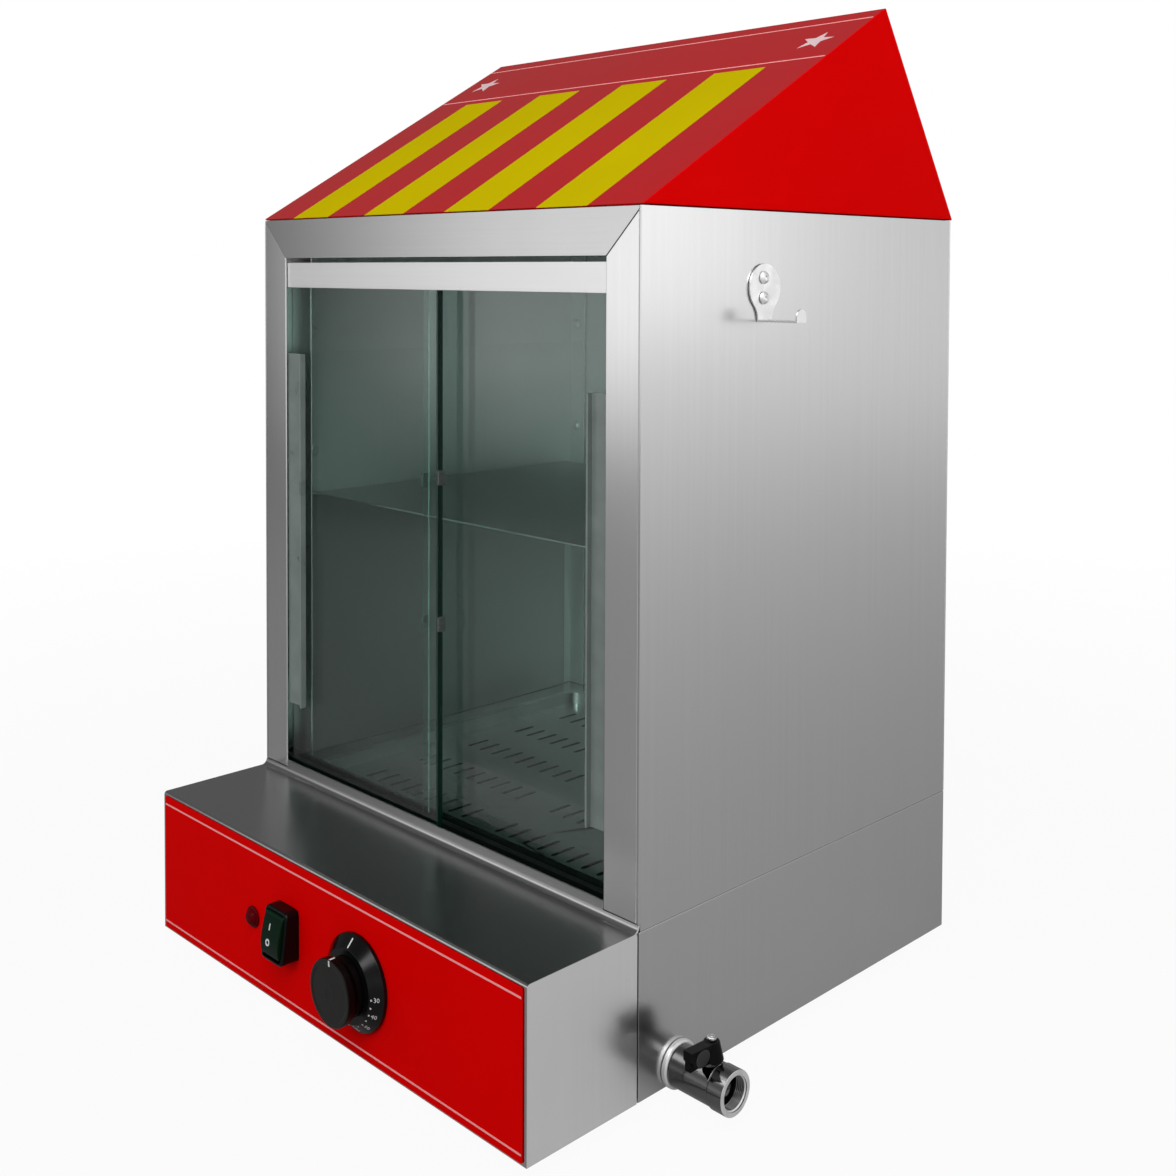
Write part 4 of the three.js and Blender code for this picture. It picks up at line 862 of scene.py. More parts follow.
@dataclass
class Doors:
    """The two panes, their handle strips and their bumpers."""

    shop: Workshop
    arris: float = 0.6
    edge: float = 0.3

    def build(self) -> None:
        """Builds the panes and dresses what is on them."""
        for side in SIDES:
            self.build_pane(f"{side}_door_glass")
            self.shop.dress(f"{side}_door_handle", HANDLE_STRIP, self.edge, 3)
            for level in ("upper", "lower"):
                self.shop.dress(f"{side}_door_{level}_bumper", CLEAR_BUMPER, self.edge, 3)

    def build_pane(self, node: str) -> None:
        """Builds a pane with ground arrises, dark green where its edge is looked into.

        Args:
            node: The CAD pane that it stands for.
        """
        low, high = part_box(node)
        size = high - low
        place = Matrix.Translation((low + high) / 2) @ Matrix.Diagonal((*size, 1.0))
        shape = bmesh.new()
        bmesh.ops.create_cube(shape, size=1.0, matrix=place)
        tall = [edge for edge in shape.edges if abs(edge.verts[0].co.z - edge.verts[1].co.z) > size.z / 2]
        bmesh.ops.bevel(
            shape,
            geom=tall,
            offset=self.arris * MM,
            offset_type="OFFSET",
            segments=1,
            profile=0.5,
            affect="EDGES",
            material=-1,
        )
        pane = self.shop.add(shape, f"{node}_pane", DOOR_GLASS, node)
        self.shop.paint(pane, GLASS_EDGE, lambda normal, _: normal.x > 0.3 or abs(normal.z) > 0.5)
        self.shop.paint(pane, GLASS_ARRIS, lambda normal, _: -FACING < normal.x < -0.3)


@dataclass
class Interior:
    """The shelf, the tray and what lies in the water tank and behind the fascia."""

    shop: Workshop
    edge: float = 0.2
    moulded_edge: float = 0.4
    tray_rim: float = 14.0

    def build(self) -> None:
        """Dresses what is inside the cabinet and the base."""
        dress = self.shop.dress
        dress("shelf", POLISHED, self.edge)
        tray = dress("steam_tray", TRAY_STEEL, self.edge)
        low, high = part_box("steam_tray")
        centre, reach = (low + high) / 2, (high - low) / 2 - Vector((1, 1, 0)) * self.tray_rim * MM

        def in_slot(normal: Vector, place: Vector) -> bool:
            """Returns whether a face is a wall of one of the tray's slots."""
            offset = place - centre
            return abs(normal.z) < FACING and abs(offset.x) < reach.x and abs(offset.y) < reach.y

        # Painted shade: the walls of the tray's slots take the near black tank steel.
        self.shop.paint(tray, TANK_STEEL_PAINTED_SHADE, in_slot)
        # Painted shade: the tank gets the near black steel.
        dress("water_tank", TANK_STEEL_PAINTED_SHADE, self.edge)
        dress("heating_element", SCREW_STEEL, self.edge)
        dress("float_switch", WHITE_PLASTIC, 0.3)
        dress("thermostat_bulb", COPPER, self.edge)
        dress("drain_pipe", COPPER, self.edge)
        dress("thermostat", GALVANISED, self.moulded_edge)
        dress("terminal_block", WHITE_PLASTIC, self.moulded_edge)
        dress("thermostat_spindle", SCREW_STEEL, self.edge)


@dataclass
class Canopy:
    """The sloping roof with its printed stripes, lines and stars."""

    shop: Workshop
    eave_setback: float = 78.2
    eave_height: float = 472.3
    run: float = 218.8
    rise: float = 129.0
    film: float = 0.12
    film_block: tuple[float, ...] = (-0.4, 360.4, 1.2, 253.2)
    stripe_starts: tuple[float, ...] = (36.0, 117.0, 198.0, 279.0)
    stripe_width: float = 40.6
    stripe_ends: Point = (0.9, 176.8)
    line_levels: tuple[float, ...] = (183.6, 240.6)
    line_width: float = 1.4
    line_ends: Point = (0.6, 359.4)
    star_places: tuple[Point, ...] = ((22.5, 213.0), (334.5, 212.0))
    star_radius: float = 12.5
    star_turn: float = 84.0

    def build(self) -> None:
        """Dresses the two sheets and lays the prints on the slope."""
        self.shop.dress("roof_shell", RED_ROOF, 0.35, 3)
        self.shop.dress("roof_rear_panel", RED_ROOF)
        half, width = self.line_width / 2, self.stripe_width
        radii = [(self.star_radius,) * 2, (self.star_radius * STAR_WAIST,) * 2] * 5
        stripes = [block(start, start + width, *self.stripe_ends) for start in self.stripe_starts]
        lines = [block(*self.line_ends, level - half, level + half) for level in self.line_levels]
        stars = [around(u, v, radii, self.star_turn) for u, v in self.star_places]
        self.lay("canopy_slope_film", RED_SLOPE, [block(*self.film_block)], self.film / 2)
        self.lay("canopy_stripes", YELLOW, stripes, self.film)
        self.lay("canopy_lines", PINK_LINE, lines, self.film)
        self.lay("canopy_stars", ROOF_LINE, stars, self.film)

    def lay(self, name: str, finish: Finish, outlines: Sequence[Sequence[Point]], height: float) -> None:
        """Lays prints on the slope.

        Args:
            name: The piece's name.
            finish: Its finish.
            outlines: The outline of each print, across and up the slope.
            height: How far they stand out.
        """
        up = Vector((0.0, self.run, self.rise)).normalized()
        slope = Bench(self.shop.at(0.0, self.eave_setback, self.eave_height), RIGHT, up)
        shape = plated((slope, outline, -self.film / 2, height) for outline in outlines)
        self.shop.add(shape, name, finish, "roof_shell", replaces=False)


@dataclass
class Fascia:
    """The red fascia with its two pinstripes and the bare margin at its right end."""

    shop: Workshop
    ends: Point = (2.9, 356.6)
    levels: tuple[float, ...] = (83.7, 5.5)
    line_width: float = 1.1
    film: float = 0.08

    def build(self) -> None:
        """Dresses the sheet and lays the lines on it."""
        self.shop.dress("control_fascia", RED_FASCIA, 0.1)
        face, half = self.shop.front(0.0, 0.0), self.line_width / 2
        lines = [block(*self.ends, level - half, level + half) for level in self.levels]
        shape = plated((face, line, -self.film / 2, self.film) for line in lines)
        self.shop.add(shape, "fascia_lines", PINK_LINE, "control_fascia", replaces=False)


@dataclass
class Lamp:
    """The indicator lamp: a dark red lens with facets in a thin bezel."""

    shop: Workshop
    centre: Point = (112.5, 43.8)
    radius: float = 5.2
    bezel_radius: float = 6.4
    bezel_thickness: float = 1.7
    depth: float = 12.0
    projection: float = 4.5
    bezel_steps: int = 64
    facets: int = 8

    def build(self) -> None:
        """Builds the lens and its bezel."""
        bench, add, node = self.shop.front(*self.centre), self.shop.add, "indicator_lamp"
        radius, rim, front, tip = self.radius, self.bezel_radius, self.bezel_thickness, self.projection
        body = [(0.0, -self.depth), (radius - 0.3, -self.depth), (radius - 0.3, STAND_OFF)]
        cap = [(rim, STAND_OFF), (rim, front - 0.5), (radius + 0.2, front), (0.0, front)]
        bezel = eased([*body, *cap], 0.35)
        lens = [(0.0, 1.0), (radius, 1.0), (radius, tip * 0.5), (radius * 0.6, tip * 0.92), (0.0, tip)]
        add(spun(bench, bezel, self.bezel_steps), "lamp_bezel", RED_LENS, node)
        add(spun(bench, lens, self.facets), "lamp_lens", RED_LENS, node, replaces=False, edge=0.25)


@dataclass
class PowerSwitch:
    """The rocker switch in its sloping hood, marked I and O."""

    shop: Workshop
    centre: Point = (150.5, 48.0)
    width: float = 23.0
    tall: float = 30.8
    corner: float = 4.2
    least_corner: float = 1.2
    wall: float = 1.8
    top_reach: float = 8.4
    bottom_reach: float = 12.2
    rounding: float = 1.3
    well_floor: float = 0.2
    tab_size: Point = (0.8, 4.8)
    tab_depth: float = 5.0
    gap: float = 0.45
    keel: tuple[Point, ...] = ((-4.0, 1.5), (-11.2, 5.2))
    upper_crown: tuple[Point, ...] = ((13.0, 8.3), (12.2, 9.5), (9.0, 10.7), (5.3, 11.6), (0.0, 12.7))
    lower_crown: tuple[Point, ...] = ((-3.6, 13.2), (-8.0, 13.2), (-11.1, 12.7), (-11.7, 11.9))
    mark_shift: float = -1.6
    mark_levels: Point = (5.1, -3.6)
    mark_size: Point = (0.9, 3.8)
    mark_depth: float = 0.3
    ring_radii: Point = (1.15, 2.05)
    ring_steps: int = 40
    film: float = 0.12

    @property
    def face(self) -> Bench:
        """Returns the plane of the fascia at the switch's centre."""
        return self.shop.front(*self.centre)

    @property
    def crown(self) -> tuple[Point, ...]:
        """Returns the section of the rocker's front: heights with how far it stands out."""
        return self.upper_crown + self.lower_crown

    def build(self) -> None:
        """Builds the hood and the rocker and prints the marks."""
        self.build_hood()
        self.build_barrel()
        self.build_rocker()
        self.print_marks()

    def ring(self, inset: float, setback: float, level: bool = False) -> list[Vector]:
        """Returns a ring of points on the hood.

        Args:
            inset: How far it lies inside the hood's edge.
            setback: How far it lies behind the hood's sloping front, or off the fascia if it is level.
            level: Whether it is level with the fascia.

        Returns:
            The points.
        """
        width, tall = self.width / 2 - inset, self.tall / 2 - inset
        corner = max(self.corner - inset, self.least_corner)
        outline = eased(block(-width, width, -tall, tall), corner, 6, closed=True)
        fall = (self.top_reach - self.bottom_reach) / self.tall
        middle = (self.top_reach + self.bottom_reach) / 2
        return [self.face.at(u, v, setback if level else middle + fall * v - setback) for u, v in outline]

    def build_hood(self) -> None:
        """Builds the hood with its rounded front and its well."""
        radius, wall = self.rounding, self.wall
        rounds = [math.pi / 2 * step / 5 for step in range(6)]
        rings = [
            self.ring(0.0, 0.05, level=True),
            self.ring(0.0, radius * 1.9),
            *(self.ring(radius * (1 - math.cos(angle)), radius * (1 - math.sin(angle))) for angle in rounds),
            self.ring(wall - 0.15, 0.02),
            self.ring(wall, 0.25),
            self.ring(wall, 2.0),
            self.ring(wall / 2, 2.8),
            self.ring(wall / 2, self.well_floor, level=True),
        ]
        shape = bmesh.new()
        add_loft(shape, rings)
        self.shop.add(shape, "switch_hood", SWITCH_PLASTIC, "switch_body")

    def build_barrel(self) -> None:
        """Builds the barrel behind the panel with its tabs."""
        face = self.face
        width, tall = (self.width - self.wall) / 2, (self.tall - self.wall) / 2
        depth = (face.start.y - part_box("switch_body")[1].y) / MM
        half, rise = self.tab_size[0] / 2, self.tab_size[1] / 2
        plates = [(face, block(-width, width, -tall, tall), depth + self.tab_depth, 0.0)]
        for u in (-width / 2, width / 2):
            for v in (-tall / 2, tall / 2):
                tab = block(u - half, u + half, v - rise, v + rise)
                plates.append((face, tab, depth, depth + self.tab_depth + 0.1))
        self.shop.add(plated(plates), "switch_barrel", BLACK_PLASTIC, "switch_body", replaces=False)

    def build_rocker(self) -> None:
        """Builds the rocker: a crowned dark green face on a block that fills the well."""
        half = self.width / 2 - self.wall - self.gap
        far = [(-level, reach) for level, reach in self.keel]
        outline = [*self.keel, *reversed(eased(self.crown, 1.2, 5)), *reversed(far)]
        shape = plated([(Bench(self.face.start, UP, -BACK), outline, -half, half)])
        self.shop.add(shape, "rocker_cap", GREEN_ROCKER, "switch_rocker", edge=0.7, segments=4)

    def land(self, level: float) -> Bench:
        """Returns the plane of the rocker's front at a mark.

        Args:
            level: The mark's height above the switch's centre.

        Returns:
            The plane, with its start at the mark.
        """
        above = min(point for point in self.crown if point[0] > level)
        below = max(point for point in self.crown if point[0] <= level)
        share = (level - below[0]) / (above[0] - below[0])
        reach = below[1] + (above[1] - below[1]) * share
        up = Vector((0.0, below[1] - above[1], above[0] - below[0])).normalized()
        return Bench(self.face.at(self.mark_shift, level, reach), RIGHT, up)

    def print_marks(self) -> None:
        """Prints I on the rocker's upper land and O on its lower land."""
        upper, lower = (self.land(level) for level in self.mark_levels)
        half, tall = self.mark_size[0] / 2, self.mark_size[1] / 2
        ring = block(*self.ring_radii, -self.mark_depth, self.film)
        shape = spun(lower, ring, self.ring_steps, closed=True)
        add_plate(shape, upper, block(-half, half, -tall, tall), -self.mark_depth, self.film)
        self.shop.add(shape, "rocker_marks", WHITE_PRINT, "switch_rocker", replaces=False)


@dataclass
class Dial:
    """The thermostat's dial ring with its scale, and the knob with its index line."""

    shop: Workshop
    centre: Point = (221.4, 43.0)
    ring_radius: float = 27.0
    rim: float = 2.4
    ring_depth: float = 8.0
    crown_radius: float = 20.5
    bore: float = 8.0
    knob_radius: float = 18.6
    neck_radius: float = 16.4
    knob_depth: float = 11.4
    gap: float = 0.3
    film: float = 0.12
    line_half: float = 0.55
    dot_half: float = 0.45
    dot_ends: Point = (0.9, 1.8)
    tick_ends: Point = (1.0, 6.6)
    numbers: tuple[int, ...] = (30, 40, 50, 60, 70, 80, 90, 110)
    angles: tuple[float, ...] = (91.0, 116.0, 141.0, 166.0, 191.0, 216.0, 241.0, 272.0)
    dot_step: float = 12.5
    number_size: float = 3.5
    number_start: float = 2.6

    @property
    def face(self) -> Bench:
        """Returns the plane of the fascia at the dial's axis."""
        return self.shop.front(*self.centre)

    def cone(self, angle: float) -> Bench:
        """Returns a plane on the ring's cone, from its crown outwards.

        Args:
            angle: The angle clockwise from the top, in degrees.

        Returns:
            The plane.
        """
        turn = math.radians(90 - angle)
        radial = Vector((math.cos(turn), 0.0, math.sin(turn)))
        fall = (self.ring_depth - self.rim) / (self.ring_radius - self.crown_radius)
        outwards = (radial + BACK * fall).normalized()
        start = self.face.start + (radial * self.crown_radius - BACK * self.ring_depth) * MM
        sideways = outwards.cross(-BACK).normalized()
        bench = Bench(start, outwards, sideways)
        return bench if bench.out.y < 0 else Bench(start, outwards, -sideways)

    def build(self) -> None:
        """Builds the ring, its scale and the knob."""
        self.build_ring()
        self.build_scale()
        self.build_knob()

    def build_ring(self) -> None:
        """Builds the cone that stands on the fascia."""
        bore, rim, depth = self.bore, self.ring_radius, self.ring_depth
        section = [(bore, STAND_OFF), (rim, STAND_OFF), (rim, self.rim)]
        section += [(self.crown_radius, depth), (bore, depth)]
        shape = spun(self.face, eased(section, 0.55, closed=True), LARGE_STEPS, closed=True)
        self.shop.add(shape, "dial_ring", BLACK_PLASTIC, "dial_bezel")

    def build_scale(self) -> None:
        """Prints the tick, the dots and the numbers on the cone."""
        half, low = self.dot_half, -0.05
        tick, dot = block(*self.tick_ends, -half, half), block(*self.dot_ends, -half, half)
        count = math.ceil((self.angles[-1] - self.angles[0]) / self.dot_step)
        dots = [self.cone(self.angles[0] + step * self.dot_step) for step in range(count)]
        plates = [(bench, dot, low, self.film) for bench in dots]
        shape = plated([(self.cone(0.0), tick, low, self.film), *plates])
        for number, angle in zip(self.numbers, self.angles):
            self.add_number(shape, str(number), self.cone(angle))
        self.shop.add(shape, "dial_scale", WHITE_PRINT, "dial_bezel", replaces=False)

    def add_number(self, shape: Shape, text: str, bench: Bench) -> None:
        """Adds a number that reads outwards from the knob.

        Args:
            shape: The mesh that it goes into.
            text: The number.
            bench: The plane that it lies on.
        """
        curve = bpy.data.curves.new("number", "FONT")
        curve.body = text
        curve.size = self.number_size * MM
        curve.extrude = self.film * MM / 2
        curve.align_y = "CENTER"
        curve.resolution_u = 3
        carrier = placed("number", curve)
        bpy.context.view_layer.update()
        mesh = bpy.data.meshes.new_from_object(carrier.evaluated_get(bpy.context.evaluated_depsgraph_get()))
        turn = Matrix((bench.across, bench.up, bench.out)).transposed().to_4x4()
        mesh.transform(Matrix.Translation(bench.at(self.number_start, 0.0)) @ turn)
        bpy.data.objects.remove(carrier)
        shape.from_mesh(mesh)
        bpy.data.meshes.remove(mesh)

    def build_knob(self) -> None:
        """Builds the knob with its grained face and its index line."""
        face, neck, rim, half = self.face, self.neck_radius, self.knob_radius, self.line_half
        base = self.ring_depth + self.gap
        top = base + self.knob_depth
        dish = top - 0.2
        flank = [(0.0, base), (neck, base), (neck, base + self.knob_depth * 0.35)]
        flank += [(rim, base + self.knob_depth * 0.62), (rim, top), (rim - 2.2, top)]
        ring = [(rim - 3.0, top - 0.35), (4.6, dish), (4.3, top - 0.02), (4.0, dish), (0.0, dish)]
        shape = spun(face, eased([*flank, *ring], 0.9, 5), LARGE_STEPS)
        knob = self.shop.add(shape, "knob_body", KNOB_PLASTIC, "thermostat_knob")
        # Partly painted sheen: the face takes the grained, lighter plastic while the flank stays black.
        self.shop.paint(knob, KNOB_FACE_GRAIN_AND_SHEEN, lambda normal, _: normal.y < -0.8)
        line, fold = block(-half, half, rim - 3.6, rim - 0.5), block(-half, half, rim - 0.9, rim + 0.1)
        low = base + self.knob_depth * 0.66
        shape = plated([(face, line, top - 0.9, top + self.film), (face, fold, low, top - 0.5)])
        self.shop.add(shape, "knob_marks", WHITE_PRINT, "thermostat_knob", replaces=False)


@dataclass
class DrainValve:
    """The chromed ball valve with its flange nut, thread and black lever."""

    shop: Workshop
    place: tuple[float, float, float] = (360.0, 110.0, 10.0)
    nut_radius: float = 13.0
    nut_thickness: float = 3.2
    gap: float = 0.3
    pipe_radius: float = 6.4
    body_radius: float = 11.4
    collar_radius: float = 12.0
    collar_length: float = 9.5
    groove_width: float = 1.2
    mouth_radius: float = 9.3
    mouth_depth: float = 7.4
    waterway: float = 5.0
    nipple: float = 10.0
    thread_start: float = 0.6
    thread_pitch: float = 1.1
    thread_depth: float = 0.65
    boss_radii: Point = (2.8, 5.5)
    boss_foot: float = 8.0
    screw_teeth: int = 14
    tooth_depth: float = 0.06
    lever_thickness: float = 6.2
    pad_place: Point = (-10.4, 17.2)
    pad_size: Point = (5.4, 4.4)
    pad_depths: Point = (-1.3, 0.2)
    pad_steps: int = 40

    @property
    def axis(self) -> Bench:
        """Returns a plane whose way out is the valve's axis, away from the casing."""
        return Bench(self.shop.at(*self.place), BACK, UP)

    def build(self) -> None:
        """Builds the nut and the body, and dresses the lever's pieces."""
        self.build_nut()
        self.build_body()
        self.build_boss()
        self.shop.dress("valve_ball", CHROME, 0.1)
        self.shop.dress("valve_stem", SCREW_STEEL, 0.2)
        self.shop.dress("valve_lever", KNOB_PLASTIC, 0.45, 3)
        self.build_pads()
        self.build_screw()

    def build_nut(self) -> None:
        """Builds the round flange nut against the skirt."""
        low, bore, radius = self.gap, self.pipe_radius, self.nut_radius
        high = low + self.nut_thickness
        section = [(bore, low), (radius, low), (radius, high - 0.9), (radius - 1.0, high), (bore, high)]
        shape = spun(self.axis, eased(section, 0.35, closed=True), LARGE_STEPS, closed=True)
        self.shop.add(shape, "valve_nut", SATIN_CHROME, "valve_flange_nut")

    def build_body(self) -> None:
        """Builds the barrel with its collar and its threaded mouth."""
        low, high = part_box("valve_body")
        start, end = ((x - self.axis.start.x) / MM for x in (low.x, high.x))
        pipe, body, collar, mouth = self.pipe_radius, self.body_radius, self.collar_radius, self.mouth_radius
        back, seat = end - self.collar_length, end - self.mouth_depth
        groove = back - self.groove_width
        barrel = [(pipe, start), (body, start), (body, groove), (body - 0.5, groove + 0.35)]
        outside = eased([*barrel, (collar, back), (collar, end), (mouth, end)], 0.45, 3)
        thread: list[Point] = []
        depth = end - self.thread_start
        while depth - self.thread_pitch > seat:
            thread += [(mouth, depth), (mouth - self.thread_depth, depth - self.thread_pitch / 2)]
            depth -= self.thread_pitch
        inner = start + self.nipple
        inside = [(mouth, seat), (self.waterway, seat), (self.waterway, inner), (pipe, inner)]
        shape = spun(self.axis, [*outside, *thread, *inside], LARGE_STEPS, closed=True)
        # Painted reflection: the barrel's plating is near black for the dark things it mirrors; its end face
        # stays satin chrome.
        piece = self.shop.add(shape, "valve_barrel", NICKEL_PAINTED_REFLECTION, "valve_body")
        rim = high.x - self.groove_width * MM
        self.shop.paint(piece, SATIN_CHROME, lambda normal, centre: normal.x > 0.6 and centre.x > rim)

    def build_boss(self) -> None:
        """Builds the round boss that the stem comes up through."""
        bench = level_bench("valve_stem", self.axis.start.z)
        top = (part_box("valve_body")[1].z - bench.start.z) / MM
        section = eased(block(*self.boss_radii, self.boss_foot, top), 0.3, closed=True)
        shape = spun(bench, section, SMALL_STEPS, closed=True)
        # Painted reflection: the boss takes the same near black plating.
        self.shop.add(shape, "valve_boss", NICKEL_PAINTED_REFLECTION, "valve_body", replaces=False)

    def build_pads(self) -> None:
        """Builds the oval thumb pad on each flank of the lever."""
        start = level_bench("valve_stem", self.axis.start.z).start
        low, high = (self.lever_thickness / 2 + depth for depth in self.pad_depths)
        across, up = self.pad_place
        plates = []
        for side in (1, -1):
            pad = around(across * side, up, [self.pad_size] * self.pad_steps)
            plates.append((Bench(start, BACK * side, UP), pad, low, high))
        # Painted highlight: the pads are grey on the black lever.
        self.shop.add(plated(plates), "lever_pads", LEVER_PAD_PAINTED_HIGHLIGHT, "valve_lever", replaces=False, edge=0.15)

    def build_screw(self) -> None:
        """Builds the lever's screw with a toothed rim and a socket."""
        low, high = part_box("valve_lever_screw")
        bench = level_bench("valve_lever_screw", high.z)
        tail = (low.z - high.z) / MM
        head = [(0.0, tail), (1.0, tail), (1.0, -2.0), (2.7, -2.0), (2.7, -0.4), (2.1, 0.0)]
        socket = [(1.15, 0.0), (1.15, -1.0), (0.0, -1.0)]
        shape = spun(bench, [*head, *socket], self.screw_teeth * 4)
        for vert in shape.verts:
            offset = vert.co - bench.start
            flat = Vector((offset.x, offset.y, 0.0))
            if flat.length > 1.9 * MM:
                wave = math.cos(math.atan2(flat.y, flat.x) * self.screw_teeth)
                share = (1 + self.tooth_depth * wave) / (1 + self.tooth_depth)
                vert.co = bench.start + flat * share + UP * offset.z
        self.shop.add(shape, "lever_screw", CHROME, "valve_lever_screw", edge=0.12, segments=2)


@dataclass
class TongsHook:
    """The polished tongs hook and its two button head screws with hexagon sockets."""

    shop: Workshop
    head_radius: float = 3.6
    head_height: float = 2.0
    shank_radius: float = 1.9
    socket_radius: float = 1.25
    socket_depth: float = 1.1
    socket_reach: float = 1.3
    flat_share: float = 0.93

    def build(self) -> None:
        """Dresses the hook and builds its screws."""
        self.shop.dress("tongs_hook", HOOK_STEEL, 0.3, 3)
        for level in ("upper", "lower"):
            self.build_screw(f"{level}_hook_screw")

    def build_screw(self, node: str) -> None:
        """Builds one button head screw.

        Args:
            node: The CAD screw that it stands for.
        """
        low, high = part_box(node)
        centre = (low + high) / 2
        bench = Bench(Vector((high.x, centre.y, centre.z)), BACK, UP)
        tail, floor = (low.x - high.x) / MM, -self.socket_depth
        shank, head, tall, socket = self.shank_radius, self.head_radius, self.head_height, self.socket_radius
        flank = [(0.0, tail), (shank, tail), (shank, -tall), (head, -tall), (head, -tall * 0.78)]
        dome = [(head * 0.86, -tall * 0.35), (head * 0.55, -0.05), (socket + 0.25, 0.0)]
        well = [(socket, -0.12), (socket, floor), (0.0, floor)]
        shape = spun(bench, [*flank, *dome, *well], SMALL_STEPS)
        for vert in shape.verts:
            offset = vert.co - bench.start
            flat = Vector((0.0, offset.y, offset.z))
            if 0.1 * MM < flat.length < (socket + 0.1) * MM and offset.x > -self.socket_reach * MM:
                angle = math.atan2(flat.z, flat.y) % math.radians(60) - math.radians(30)
                vert.co = bench.start + flat * (self.flat_share / math.cos(angle)) + RIGHT * offset.x
        self.shop.add(shape, f"{node}_head", SATIN_CHROME, node)


@dataclass
class CableEntry:
    """The empty cable gland in the rear skirt."""

    shop: Workshop

    def build(self) -> None:
        """Dresses the gland."""
        self.shop.dress("cable_gland", BLACK_PLASTIC, 0.4, 3)


# Studio


@dataclass
class Camera:
    """The camera that the photograph's perspective was solved for."""

    place: tuple[float, float, float] = (665.71, -644.68, 445.0)
    right: tuple[float, float, float] = (0.7008337, 0.713314, 0.00390832)
    down: tuple[float, float, float] = (0.02619816, -0.02026369, -0.99945137)
    forward: tuple[float, float, float] = (-0.71284345, 0.70055159, -0.03288898)
    focal: float = 1426.17
    picture: float = 1176.0
    horizon: float = 319.47
    sensor: float = 36.0

    def build(self) -> None:
        """Places the camera and makes it the scene's."""
        data = bpy.data.cameras.new("camera")
        data.sensor_width = self.sensor
        data.lens = self.focal / self.picture * self.sensor
        data.shift_y = -(self.picture / 2 - self.horizon) / self.picture
        data.clip_start = 0.01
        camera = placed("camera", data)
        turn = Matrix((Vector(self.right), -Vector(self.down), -Vector(self.forward))).transposed().to_4x4()
        camera.matrix_world = Matrix.Translation(Vector(self.place) * MM) @ turn
        bpy.context.scene.camera = camera


@dataclass(frozen=True)
class Softbox:
    """A soft lamp: its direction, distance, size and brightness, and the share that fades at its edges."""

    name: str
    azimuth: float
    elevation: float
    distance: float
    width: float
    height: float
    brightness: float
    fade: float = 0.0

    def build(self, target: Vector) -> None:
        """Places the lamp so that it faces the target.

        Args:
            target: The point that it faces.
        """
        data = bpy.data.lights.new(self.name, "AREA")
        data.shape = "RECTANGLE"
        data.size = self.width
        data.size_y = self.height
        data.energy = self.brightness * math.pi * self.width * self.height
        if self.fade > 0:
            self.soften(data)
        lamp = placed(self.name, data)
        azimuth, elevation = math.radians(self.azimuth), math.radians(self.elevation)
        level = math.cos(elevation)
        away = Vector((level * math.cos(azimuth), level * math.sin(azimuth), math.sin(elevation)))
        lamp.location = target + away * self.distance
        lamp.rotation_euler = away.to_track_quat("Z", "Y").to_euler()

    def soften(self, data: bpy.types.Light) -> None:
        """Fades the lamp towards its edges.

        Args:
            data: The lamp's data.
        """
        tree = Tree(data)
        place = tree.add("NewGeometry").outputs["Parametric"]
        split = tree.add("SeparateXYZ", {"Vector": place}).outputs
        inwards = [tree.calc("PINGPONG", split[axis], 0.5) for axis in ("X", "Y")]
        shares = [tree.ranged(distance, start=0.0, end=self.fade) for distance in inwards]
        glow = tree.add("Emission", {"Strength": tree.calc("MULTIPLY", *shares)})
        tree.add("OutputLight", {"Surface": glow.outputs["Emission"]})


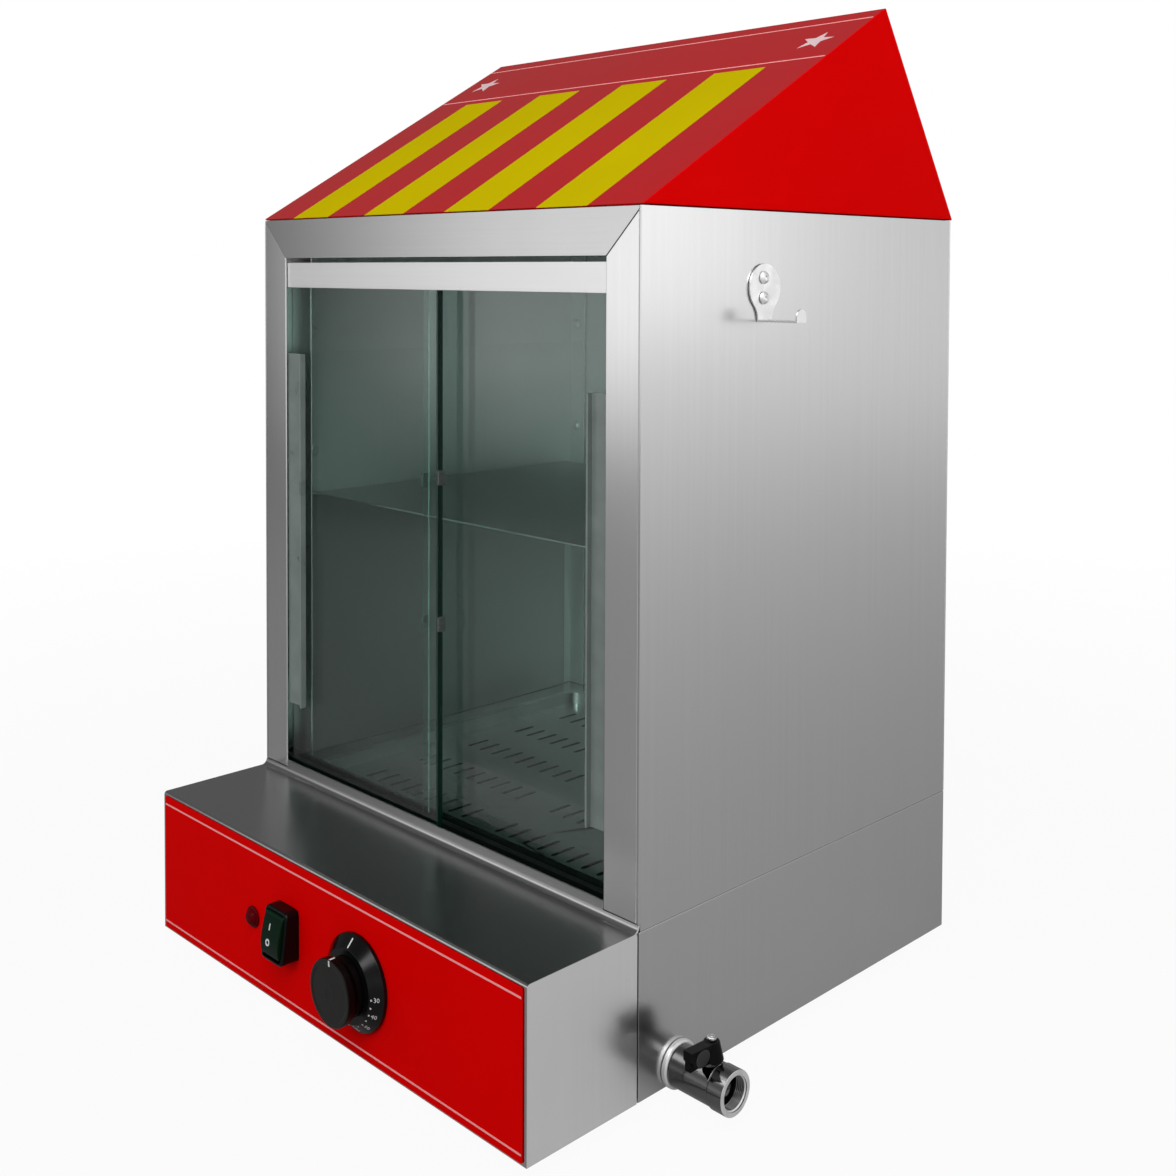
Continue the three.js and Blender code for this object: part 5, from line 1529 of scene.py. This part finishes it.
@dataclass
class Studio:
    """A pale floor, soft lamps and a white surround."""

    lamps: tuple[Softbox, ...] = (
        Softbox("key softbox", 312.0, 44.0, 1.9, 1.4, 1.1, 4.1),
        Softbox("right softbox", 20.0, 16.0, 1.7, 1.8, 0.9, 0.7),
        Softbox("left softbox", 237.0, 6.0, 1.7, 1.5, 0.8, 1.25, fade=0.25),
        Softbox("top softbox", 330.0, 74.0, 1.7, 1.2, 1.2, 1.0),
        Softbox("front softbox", 275.0, 24.0, 1.9, 0.5, 0.5, 7.0),
    )
    target: tuple[float, float, float] = (0.0, 0.0, 0.3)
    floor_size: float = 12.0
    floor_tone: float = 0.31
    shadow_reach: Point = (0.5, 1.6)
    mirror_reach: Point = (-0.2, 2.4)
    mirror_share: float = 0.9
    shadow_share: float = 0.05
    ambient: float = 0.35
    mirrored_ambient: float = 0.16
    white_right: Point = (-0.1, 0.6)
    white_down: Point = (0.05, 0.35)
    least_white: float = 0.25

    def build(self) -> None:
        """Sets up the floor, the lamps, the world and the view."""
        for lamp in self.lamps:
            lamp.build(Vector(self.target))
        self.build_floor()
        self.build_world()
        bpy.context.scene.view_settings.view_transform = "Standard"

    def build_floor(self) -> None:
        """Lays the floor, which looks white but keeps the object's shadow."""
        shape = bmesh.new()
        bmesh.ops.create_grid(shape, x_segments=1, y_segments=1, size=self.floor_size / 2)
        mesh = bpy.data.meshes.new("floor")
        shape.to_mesh(mesh)
        shape.free()
        tree = SurfaceTree("floor_paper", Specular_IOR_Level=0.0, Roughness=1.0)
        paper, white = tree.ranged(tree.noise(300.0, detail=2.0)), grey(self.floor_tone)
        mesh.materials.append(tree.driven(Base_Color=tree.mixed(paper, scaled(white, 0.98), white)))
        place = tree.add("TexCoord").outputs["Object"]
        away = tree.add("VectorMath", {0: place}, operation="LENGTH").outputs["Value"]
        across = tree.add("SeparateXYZ", {"Vector": place}).outputs["X"]
        rays = tree.add("LightPath").outputs
        seen = tree.ranged(away, 1.0 - self.shadow_share, 1.0, *self.shadow_reach)
        mirrored = tree.ranged(across, 0.0, self.mirror_share, *self.mirror_reach)
        indirect = tree.calc("ADD", rays["Is Glossy Ray"], rays["Is Transmission Ray"], clamped=True)
        direct = tree.calc("MULTIPLY", rays["Is Camera Ray"], seen)
        share = tree.calc("ADD", direct, tree.calc("MULTIPLY", indirect, mirrored), clamped=True)
        tree.cover(share, tree.add("Emission", {"Color": grey(1.0)}).outputs["Emission"])
        placed("floor", mesh)

    def build_world(self) -> None:
        """Surrounds the object with soft grey light and a white background, whiter to the right."""
        world = bpy.data.worlds.new("surround")
        bpy.context.scene.world = world
        tree = Tree(world)
        rays = tree.add("LightPath").outputs
        indirect = tree.calc("ADD", rays["Is Glossy Ray"], rays["Is Transmission Ray"], clamped=True)
        strength = tree.ranged(indirect, self.ambient, self.mirrored_ambient, 0.0, 1.0)
        room = tree.add("Background", {"Color": grey(1.0), "Strength": strength}).outputs["Background"]
        white = tree.add("Background", {"Color": grey(1.0)}).outputs["Background"]
        way = tree.add("SeparateXYZ", {"Vector": tree.add("TexCoord").outputs["Generated"]}).outputs
        rightwards = tree.ranged(way["X"], 0.0, 1.0, *self.white_right)
        downwards = tree.ranged(way["Z"], 1.0, self.least_white, *self.white_down)
        whiter = tree.calc("MULTIPLY", indirect, tree.calc("MULTIPLY", rightwards, downwards))
        share = tree.calc("ADD", rays["Is Camera Ray"], whiter, clamped=True)
        tree.add("OutputWorld", {"Surface": tree.blended(share, room, white)})


def main() -> None:
    """Builds the steamer's looks and the studio round it."""
    logging.basicConfig(level=logging.INFO, format="%(message)s")
    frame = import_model()
    Camera().build()
    shop = Workshop(frame)
    cabinet = (Casing, Feet, Doors, Interior, Canopy)
    controls = (Fascia, Lamp, PowerSwitch, Dial)
    for assembly in (*cabinet, *controls, DrainValve, TongsHook, CableEntry):
        LOG.info("%s", assembly.__name__)
        assembly(shop).build()
    Studio().build()


if __name__ == "__main__":
    main()
